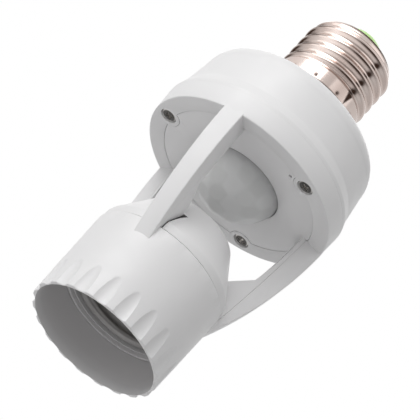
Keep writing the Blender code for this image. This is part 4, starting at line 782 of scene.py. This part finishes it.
def fade(height, low, high, run):
    """0 outside the thread and 1 inside it, by a smooth step at each end."""
    return smooth(np.minimum((height - low) / run, (high - height) / run))


def thread_phase(heights, angles):
    """2 pi height / pitch - angle: nil on a crest, and pi in a root."""
    return 2 * math.pi * (heights - CREST_HEIGHT) / PITCH - (angles - CREST_ANGLE)


def thread_wave(heights, angles):
    """The cosine of the phase, flattened a little at crest and root as rolled sheet is."""
    wave = np.cos(thread_phase(heights, angles))
    return wave * (1.12 - 0.12 * wave * wave)


print("turns of thread on the cap:", (THREAD_TOP - SKIRT_TOP) / PITCH)

# %% [markdown]
# ## Painted reflections and shade
#
# Dark reflections and shade are painted in bands beside the crests and in dark spots. A row
# of the table is one of them, in degrees: its angle round the cap, its half width, its phase
# in the thread, its half height, and how dark it is. Light shade is painted over the rest of
# the sheet too, except on the side where the highlight falls.

# %% Painted reflections and shade
# Bands and spots of painted dark reflections and shade on the thread.
PAINTED_REFLECTION_BANDS = np.array([(-51, 25, -32, 30, 1.2), (-55, 29, -142, 24, 0.62), (-100, 17, -5, 29, 0.42),
                    (-124, 13, -5, 28, 1.0), (-153, 12, -90, 34, 1.2), (-139, 9, -66, 28, 1.05),
                    (-154, 14, -180, 56, 1.5), (-138, 11, -168, 40, 1.0), (-31, 4.5, -112, 52, 1.2),
                    (70, 30, -34, 26, 0.80), (150, 26, -34, 26, 0.70), (108, 28, -140, 22, 0.40),
                    (92, 4.5, -112, 52, 1.0)])
# Painted shade over the whole sheet, and more on a part of the skirt.
SIDE_SHADE, SKIRT_SIDE_SHADE = 0.36, 0.22


def hump(distance, width):
    """exp(-(distance / width)^2)."""
    return np.exp(-((distance / width) ** 2))


def bell(angles, centre, width):
    """A hump of the way round from the centre; centre and width are in degrees."""
    return hump(way_round(angles, math.radians(centre)), math.radians(width))


# How dark the painted reflections and shade are at each point of the thread.
def painted_reflection_shade(heights, angles):
    """How dark the thread is: a sum of bell(angle) times bell(phase) times an amount, for each row."""
    phase, dark = thread_phase(heights, angles), 0.0
    for angle, wide, place, high, amount in PAINTED_REFLECTION_BANDS:
        dark = dark + amount * bell(angles, angle, wide) * bell(phase, place, high)
    return np.clip(dark, 0, 1)


def painted_side_shade(heights, angles):
    """An even painted shade, less a wide bell on the side where the highlight falls, and more on a part of
    the skirt.
    """
    return SIDE_SHADE * (1 - bell(angles, -100, 28)) + SKIRT_SIDE_SHADE * bell(angles, -46, 17) * (heights < SKIRT_TOP)


print("bands and spots of tarnish:", len(PAINTED_REFLECTION_BANDS))

# %% [markdown]
# ## Screw cap
#
# The cap is a sheet with a wall, and its outside gets the thread's wave. The plain skirt
# has a row of small dents, where it is pressed into the plastic neck so that the cap can't
# turn. A wedge of painted reflection stands on the skirt, and painted shade darkens the dents,
# the skirt's bead and the cap's end.

# %% Screw cap
CAP_CORNERS = [(9.9, 114.6), (11.7, 114.3), (12.6, 112.3), (12.6, 97.6), (12.95, 97.1)]
CAP_CUTS = [0, 0.9, 0.7, 0.4, 0.2, 0]
CAP_INSIDE = [(12.5, 97.0), (11.75, 97.4), (11.75, 112.6), (9.9, 114.15)]
THREAD_DEPTH, THREAD_FADE = 0.5 * MM, 1.3 * MM
DENTS, FIRST_DENT, DENT_HEIGHT, DENT_DEPTH = 11, math.radians(-79.7), 93.9 * MM, 0.30 * MM
WEDGE_ANGLE, WEDGE_TIP, WEDGE_SLOPE = math.radians(-33), 92.6 * MM, 0.25
SKIRT_RADIUS, BEAD_HEIGHT = 12.95 * MM, 92.75 * MM


def skirt_reflection_shade(height, angles):
    """Painted reflection and shade: a wedge |d| < slope (height - tip), a hump at the bead's height, and a
    band past the thread's end.
    """
    sideways = np.abs(way_round(angles, WEDGE_ANGLE)) * SKIRT_RADIUS
    wedge = np.clip((WEDGE_SLOPE * (height - WEDGE_TIP) - sideways) / (0.35 * MM), 0, 1)
    wedge = wedge * np.clip((97.4 * MM - height) / (0.3 * MM), 0, 1)
    bead = 0.95 * hump(height - BEAD_HEIGHT, 0.25 * MM)
    end = 0.95 * np.clip((height - THREAD_TOP) / (0.4 * MM), 0, 1) * bell(angles, -58, 52)
    return wedge + bead + end


def cap_piece():
    """Radius of the sheet's profile plus the thread's depth times its wave, less a hump at each dent."""
    angles, base = full_turn(264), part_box("cap_shell")[0][2] / MM
    outside = soften([*CAP_CORNERS, (12.95, base)], CAP_CUTS, closed=False, steps=6)
    outside = spaced(outside, 0.16 * MM)
    profile = np.vstack([outside, np.array([(12.5, base), *CAP_INSIDE]) * MM])
    radius, height = profile[:, :1], profile[:, 1:]
    on_outside = (np.arange(len(profile)) < len(outside))[:, None]
    share = fade(height, SKIRT_TOP, THREAD_TOP, THREAD_FADE) * on_outside
    dents = np.arange(DENTS) * 2 * math.pi / DENTS + FIRST_DENT
    sideways = (np.abs(way_round(angles[:, None], dents)).min(1) * SKIRT_RADIUS)[None, :]
    dent = hump(height - DENT_HEIGHT, 0.5 * MM) * hump(sideways, 0.4 * MM)
    radii = radius + THREAD_DEPTH * thread_wave(height, angles) * share - DENT_DEPTH * dent * on_outside
    piece = skin("screw_cap", turned_rings(radii, height, angles), loop=True, sharp=50.0)
    # Painted reflections and shade: the thread's bands, the dents and the skirt's marks, over an even painted
    # shade, make the value root.
    dark = painted_reflection_shade(height, angles) * share + (dent + skirt_reflection_shade(height, angles)) * on_outside
    shaded = painted_side_shade(height, angles)
    carry(piece, "root", shaded + (1 - shaded) * np.clip(dark, 0, 1))
    return piece


put(cap_piece(), nickel, "nickel_sheet", "cap_shell")

# %% [markdown]
# ## Insulator and contact
#
# The green insulator closes the cap's end, and its contact is a low steel button. Both are
# turned profiles, and a very small fan closes the button on the axis.

# %% Insulator and contact
INSULATOR_CORNERS = [(3.8, 119.5), (4.8, 119.5), (5.7, 118.8), (7.3, 116.8), (8.6, 113.9), (10.7, 113.6),
                     (10.7, 112.1), (1.3, 112.1), (1.3, 116.9), (3.8, 116.9)]
INSULATOR_CUTS = [0.1, 0.2, 0.6, 0.9, 0.1, 0.1, 0.1, 0.1, 0.1, 0.1]
CONTACT_CORNERS = [(0.05, 119.6), (2.3, 119.52), (3.3, 119.3), (3.5, 118.9), (3.5, 117.2), (0.05, 117.2)]
CONTACT_CUTS = [0, 0.7, 0.3, 0.2, 0.1, 0]
insulator = turned("cap_insulator_turned", INSULATOR_CORNERS, INSULATOR_CUTS)
put(insulator, green, "green_plastic", "cap_insulator")
contact = turned("cap_contact_turned", CONTACT_CORNERS, CONTACT_CUTS, count=96, loop=False)
put(contact, steel, "steel", "cap_contact")

# %% [markdown]
# ## The lens's flats
#
# A sensor lens is a half dome of many small flat lenses. A way from the dome's centre
# meets a flat at the flat's distance divided by the cosine of the angle to it, and the
# nearest flat wins. The flats sit in rings round the tip.

# %% Flats
LENS_RADIUS, LENS_WALL = 12.75 * MM, 0.9 * MM
LENS_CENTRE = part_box("sensor_lens")[0][2] + LENS_RADIUS
FLAT_COUNTS, FLAT_TILTS = np.array([1, 6, 11, 15, 18]), np.radians([0.0, 23.0, 44.0, 63.0, 81.0])
FLAT_SHARE, FLAT_BLEND = 0.986, 0.05 * MM
BRIM = np.array([(14.6, 14.6, 12.3), (-0.75, 0.0, 0.0)])[..., None] * MM


def way_down(tilt, around):
    """(sin t cos a, sin t sin a, -cos t): a way of length 1 at a tilt t from straight down."""
    out = np.sin(tilt)
    return np.stack([out * np.cos(around), out * np.sin(around), -np.cos(tilt) + 0 * around], -1)


def facet_centres():
    """Ways to the flats: rings at set tilts, every other one turned by half a step."""
    counts = FLAT_COUNTS
    order = np.arange(counts.sum()) - np.repeat(np.cumsum(counts) - counts, counts)
    turned_half = np.repeat(np.arange(len(counts)), counts) % 2
    around = 2 * math.pi * (order + 0.5 * turned_half) / np.repeat(counts, counts)
    return way_down(np.repeat(FLAT_TILTS, counts), around)


def lens_rings():
    """Distance along a way: flat / cos(angle to each flat), blended as -s ln(sum of exp(-distance / s))."""
    angles = full_turn(288)
    tilt = np.linspace(math.radians(0.4), math.radians(92), 120)[:, None]
    ways = way_down(tilt, angles)
    reach = LENS_RADIUS * FLAT_SHARE / np.maximum(ways @ facet_centres().T, 0.2)
    least = reach.min(-1, keepdims=True)
    distance = least[..., 0] - FLAT_BLEND * np.log(np.exp((least - reach) / FLAT_BLEND).sum(-1))
    outer = ways * np.minimum(distance, LENS_RADIUS)[..., None]
    tilt_back = np.linspace(math.radians(92), math.radians(0.4), 40)[:, None]
    back = way_down(tilt_back, angles) * (LENS_RADIUS - LENS_WALL)
    brim = turned_rings(*BRIM, angles)
    rows = np.concatenate([outer[tilt[:, 0] < math.radians(86)], brim, back[1:]], 0)
    return rows + np.array([0.0, 0.0, LENS_CENTRE])


print("flats on the lens:", FLAT_COUNTS.sum())

# %% [markdown]
# ## Faceted lens
#
# The lens carries two values for its finish: a number that jumps about from flat to flat,
# and one that rises towards the plate.

# %% Faceted lens
RIM_START, RIM_END, TONE_BLEND = 52, 88, 0.006


def flat_tone(away):
    """Each flat has its own number, 0.618 times its order less the whole part, blended where flats meet."""
    nearness = away @ facet_centres().T / np.linalg.norm(away, axis=-1, keepdims=True)
    weight = np.exp((nearness - nearness.max(-1, keepdims=True)) / TONE_BLEND)
    numbers = (np.arange(nearness.shape[-1]) * 0.618) % 1
    return weight @ numbers / weight.sum(-1)


def rim_shade(away):
    """A smooth step of the tilt from the tip, in degrees: 0 at its start and 1 near the plate."""
    tilt = np.degrees(np.arctan2(np.hypot(away[..., 0], away[..., 1]), -away[..., 2]))
    return smooth((tilt - RIM_START) / (RIM_END - RIM_START))


rings = lens_rings()
lens = skin("faceted_lens", rings, sharp=60.0)
from_centre = rings - np.array([0.0, 0.0, LENS_CENTRE])
carry(lens, "rim", rim_shade(from_centre))
carry(lens, "flat", flat_tone(from_centre))
put(lens, milky, "milky_plastic", "sensor_lens")

# %% [markdown]
# ## Inside the socket
#
# In the mouth, the edge of the threaded shell shows as a thin ring. Its thread is the same
# wave as the cap's, pressed into a wider sheet, so that a lamp screws in.

# %% Socket shell
SHELL_WAVE, SHELL_WALL, FLANGE_RADIUS, FLANGE_DROP = 0.45 * MM, 0.4 * MM, 12.2 * MM, 0.35 * MM


def shell_piece():
    """Radius of a stepped profile plus a depth times the thread's wave, with a wall inside it."""
    angles = full_turn(180)
    low, high = (corner[2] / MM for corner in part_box("socket_shell"))
    corners = [(14.1, low + 0.1), (13.3, low + 0.5), (13.2, low + 1.0), (13.2, high - 0.8), (12.4, high),
               (6.5, high)]
    profile = spaced(soften(corners, [0, 0.3, 0.2, 0.3, 0.3, 0], closed=False), 0.2 * MM)
    wall = profile[::-1] - np.array([SHELL_WALL, 0.0])
    wall[:, 1] -= np.where(wall[:, 0] < FLANGE_RADIUS, FLANGE_DROP, 0.0)
    both = np.vstack([profile, wall])
    radius, height = both[:, :1], both[:, 1:]
    share = fade(height, (low + 0.9) * MM, (high - 0.8) * MM, MM)
    radii = radius + SHELL_WAVE * thread_wave(height, angles) * share
    return skin("threaded_shell", turned_rings(radii, height, angles), loop=True, sharp=50.0)


put(shell_piece(), dull_sheet, "nickel_sheet", "socket_shell")

# %% [markdown]
# ## The screws' finish
#
# A screw sits deep in its recess, so shade is painted on its face: the finish is dark up to
# just above the head's face, and bright steel in the cross.

# %% Screw finish
def screw_finish(face):
    """The height above the head's face mixes a scratched dark steel, painted there as shade, with a bright
    one.
    """
    finish, tree, shader = blank_finish("Screw with painted shade on its face", 0.35, 1.0)
    place = object_place(tree)
    level = add_node(tree, "SeparateXYZ", {"Vector": place}).outputs["Z"]
    deep = spread(tree, level, 0.0, 1.0, face + 0.08 * MM, face + 0.14 * MM)
    scratch = noise(tree, place, 1500.0, 3.0, 0.6)
    dark = two_colours(tree, spread(tree, scratch, 0.0, 1.0), (0.045, 0.043, 0.042), (0.10, 0.095, 0.09))
    # The head's face is painted dark as shade from its recess; the cross keeps bright steel.
    tone = two_colours(tree, deep, dark, (0.64, 0.62, 0.60))
    dress(tree, shader, tone, spread(tree, scratch, 0.28, 0.42), scratch, 0.08, 0.04 * MM)
    return finish


screw_with_painted_shade = screw_finish(screw_place(1)[2])
print("screw finish:", screw_with_painted_shade.name)

# %% [markdown]
# ## Housing screws
#
# Each screw is a turned head, and two thin bars are cut out of it crosswise. The crosses
# stand at different angles, as they do when screws are driven home by hand.

# %% Housing screws
HEAD_PROFILE = np.array([(0.03, 2.0), (0.95, 2.0), (0.95, 1.0), (2.2, 0.9), (2.2, 0.25), (1.6, 0.02),
                         (0.03, 0.0)])
HEAD_CUTS = [0, 0.1, 0.05, 0.1, 0.25, 0.4, 0]
CROSS_LONG, CROSS_SHORT, CROSS_DEPTH = 1.3, 0.27, 0.65 * MM


def screw_head(number):
    """A turned head at the screw's place, less two bars that cross at a right angle."""
    x, y, low = screw_place(number)
    corners = HEAD_PROFILE + np.array([0.0, low / MM])
    head = turned(f"screw_{number}", corners, HEAD_CUTS, count=64, loop=False, centre=(x, y))
    bars = []
    turn = np.array(Matrix.Rotation(math.radians(20 + 50 * number), 3, "Z")).T
    level = np.array([low - 0.3 * MM, low + CROSS_DEPTH])
    for side, half in enumerate([(CROSS_SHORT, CROSS_LONG), (CROSS_LONG, CROSS_SHORT)]):
        corners = np.array([(1, 1), (-1, 1), (-1, -1), (1, -1)]) * half * MM
        square = np.concatenate([np.repeat(corners[None], 2, 0), np.repeat(level[:, None, None], 4, 1)], -1)
        bars.append(skin(f"screw_bar_{number}_{side}", square @ turn + np.array([x, y, 0.0])))
    return cut_away(head, bars)


for number in (1, 2, 3):
    put(screw_head(number), screw_with_painted_shade, "steel", f"housing_screw_{number}")

# %% [markdown]
# ## Contact leaf
#
# The contact button rises when a lamp is screwed in, and a bent brass leaf presses it
# back. The leaf is a strip along a path that drops by a smooth step.

# %% Contact leaf
LEAF_BEND, LEAF_RUN, LEAF_THICKNESS = -1.8 * MM, 2.4 * MM, 0.4 * MM
leaf_low, leaf_high = (np.array(corner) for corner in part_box("contact_leaf"))


def leaf_piece():
    """Height along y is the top less a drop times the smooth step, and each ring is square to that path."""
    drop = leaf_high[2] - leaf_low[2] - LEAF_THICKNESS
    along = np.linspace(leaf_low[1], leaf_high[1], 69)
    share = np.clip((along - LEAF_BEND) / LEAF_RUN, 0, 1)
    middle = leaf_high[2] - LEAF_THICKNESS / 2 - drop * smooth(share)
    slope = -drop * 6 * share * (1 - share) / LEAF_RUN
    steep = np.hypot(1, slope)
    half = leaf_high[0] / MM
    section = soften([(half, 0.2), (-half, 0.2), (-half, -0.2), (half, -0.2)], 0.08)
    across, off = section[None, :, 0], section[None, :, 1]
    rings = np.stack([across + 0 * along[:, None], along[:, None] - off * (slope / steep)[:, None],
                      middle[:, None] + off / steep[:, None]], -1)
    return skin("bent_contact_leaf", rings)


leaf = leaf_piece()
leaf.data.materials.append(brass)
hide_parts("contact_leaf")
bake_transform(leaf)
print("leaf bends from y =", LEAF_BEND, "to", LEAF_BEND + LEAF_RUN)

# %% [markdown]
# ## Pieces that keep their CAD shape
#
# The circuit board and its components are hidden in the housing, and the wires run down
# inside two legs. They keep their solids and only get their own finishes.

# %% Finishes for the CAD pieces
kept = {
    "lens_retainer": grey_plastic, "sensor_can": steel, "light_sensor": dark_case,
    "circuit_board": board_green, "relay": blue_case, "film_capacitor": ochre_case, "control_chip": dark_case,
    "electrolytic_capacitor": dark_case, "power_resistor": ochre_case, "rectifier_diode": dark_case,
    "socket_base": base_plastic, "socket_screw_1": steel, "socket_screw_2": steel,
    "leaf_rivet": brass, "contact_button": brass,
    "cap_live_wire": red_sleeve, "cap_neutral_wire": blue_sleeve,
    "lamp_live_wire": red_sleeve, "lamp_neutral_wire": blue_sleeve,
}
for node, finish in kept.items():
    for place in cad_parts[node].material_slots:
        place.material = finish
print("finished CAD pieces:", len(kept))

# %% [markdown]
# ## World
#
# The world is plain white where the camera, a reflection or a clear piece sees it, and
# dimmer where it lights the object, so that the lamps can shape it.

# %% World
WORLD_LIGHT = 0.28
world = bpy.data.worlds.new("Studio")
bpy.context.scene.world = world
world.use_nodes = True
sky = world.node_tree
background = sky.nodes["Background"]
background.inputs["Color"].default_value = (1.0, 1.0, 1.0, 1.0)


def seen_directly(tree):
    """1 for a ray from the camera, a reflection or a clear piece, and 0 for a ray that lights something."""
    ray = add_node(tree, "LightPath").outputs
    return larger(tree, larger(tree, ray["Is Camera Ray"], ray["Is Glossy Ray"]), ray["Is Transmission Ray"])


sky.links.new(spread(sky, seen_directly(sky), WORLD_LIGHT, 1.0, 0.0, 1.0), background.inputs["Strength"])
print("light from the world:", WORLD_LIGHT)

# %% [markdown]
# ## Floor
#
# The floor is a large pale sheet below the holder. It glows a little where it is looked at,
# so that it stays pale but keeps a shadow, and it is clear when it is seen from below.

# %% Floor
FLOOR_HALF, FLOOR_HEIGHT, FLOOR_GLOW = 6, -0.5, 0.48
floor_mesh = bpy.data.meshes.new("studio_floor")
sides = [(-1, -1), (1, -1), (1, 1), (-1, 1)]
floor_corners = [(x * FLOOR_HALF, y * FLOOR_HALF, FLOOR_HEIGHT) for x, y in sides]
floor_mesh.from_pydata(floor_corners, [], [(0, 1, 2, 3)])
floor = bpy.data.objects.new("studio_floor", floor_mesh)
bpy.context.scene.collection.objects.link(floor)
floor_finish, floor_tree, floor_shader = blank_finish("Pale floor", 0.7)
floor_shader.inputs["Base Color"].default_value = (0.86, 0.86, 0.86, 1.0)
below = add_node(floor_tree, "NewGeometry").outputs["Backfacing"]
clear = add_node(floor_tree, "BsdfTransparent").outputs[0]
glow = spread(floor_tree, seen_directly(floor_tree), 0.0, FLOOR_GLOW, 0.0, 1.0)
glow = add_node(floor_tree, "Emission", {"Strength": glow})
pale = add_node(floor_tree, "AddShader", {0: floor_shader.outputs[0], 1: glow.outputs[0]})
choice = add_node(floor_tree, "MixShader", {0: below, 1: pale.outputs[0], 2: clear})
floor_tree.links.new(choice.outputs[0], floor_tree.nodes["Material Output"].inputs["Surface"])
floor_mesh.materials.append(floor_finish)
print("floor at a height of", FLOOR_HEIGHT, "metres")

# %% [markdown]
# ## Camera
#
# The camera stands below the holder and is rolled, so that the holder lies across the
# frame. Three unit vectors say where right, up and back are for it.

# %% Camera
CAMERA_PLACE = Vector((274.27, -540.99, -287.25)) * MM
AZIMUTH, ELEVATION, ROLL = (math.radians(angle) for angle in (-63.0755, -29.0391, 42.3029))
back = Vector((math.cos(AZIMUTH) * math.cos(ELEVATION), math.sin(AZIMUTH) * math.cos(ELEVATION),
               math.sin(ELEVATION)))
level = Vector((0, 0, 1)).cross(back).normalized()
right = Matrix.Rotation(ROLL, 3, back) @ level
up = back.cross(right)
camera_data = bpy.data.cameras.new("Photo camera")
camera_data.lens = 231.71
camera_data.sensor_width = 36.0
camera_data.clip_end = 20.0
camera = bpy.data.objects.new("Photo camera", camera_data)
camera.matrix_world = Matrix.Translation(CAMERA_PLACE) @ Matrix((right, up, back)).transposed().to_4x4()
bpy.context.scene.collection.objects.link(camera)
bpy.context.scene.camera = camera
bpy.context.scene.view_settings.view_transform = "Standard"
print("camera at", tuple(round(v, 4) for v in CAMERA_PLACE))

# %% [markdown]
# ## Lamps
#
# The lamps are placed in the camera's own directions: a strong one above, and weaker ones
# on the left, on the right and behind. None shines into the mouth, so it looks hollow.

# %% Lamps
LAMP_SIZE = 0.9
HOLDER_MIDDLE = Vector((0.0, 0.0, 0.06))


def lamp(name, sideways, upwards, towards, power):
    """An area lamp at middle + right s + up u + back t, turned to face the holder's middle."""
    place = HOLDER_MIDDLE + right * sideways + up * upwards + back * towards
    data = bpy.data.lights.new(name, "AREA")
    data.energy = power
    data.shape = "DISK"
    data.size = LAMP_SIZE
    source = bpy.data.objects.new(name, data)
    facing = (place - HOLDER_MIDDLE).to_track_quat("Z", "Y").to_matrix().to_4x4()
    source.matrix_world = Matrix.Translation(place) @ facing
    bpy.context.scene.collection.objects.link(source)


lamp("Top lamp", 0.0, 0.95, 0.26, 6.5)
lamp("Left lamp", -0.62, 0.72, 0.35, 1.2)
lamp("Side lamp", 0.8, 0.15, 0.3, 1.5)
lamp("Back lamp", 0.35, 0.3, -0.9, 1.3)
print("lamps:", len(bpy.data.lights))
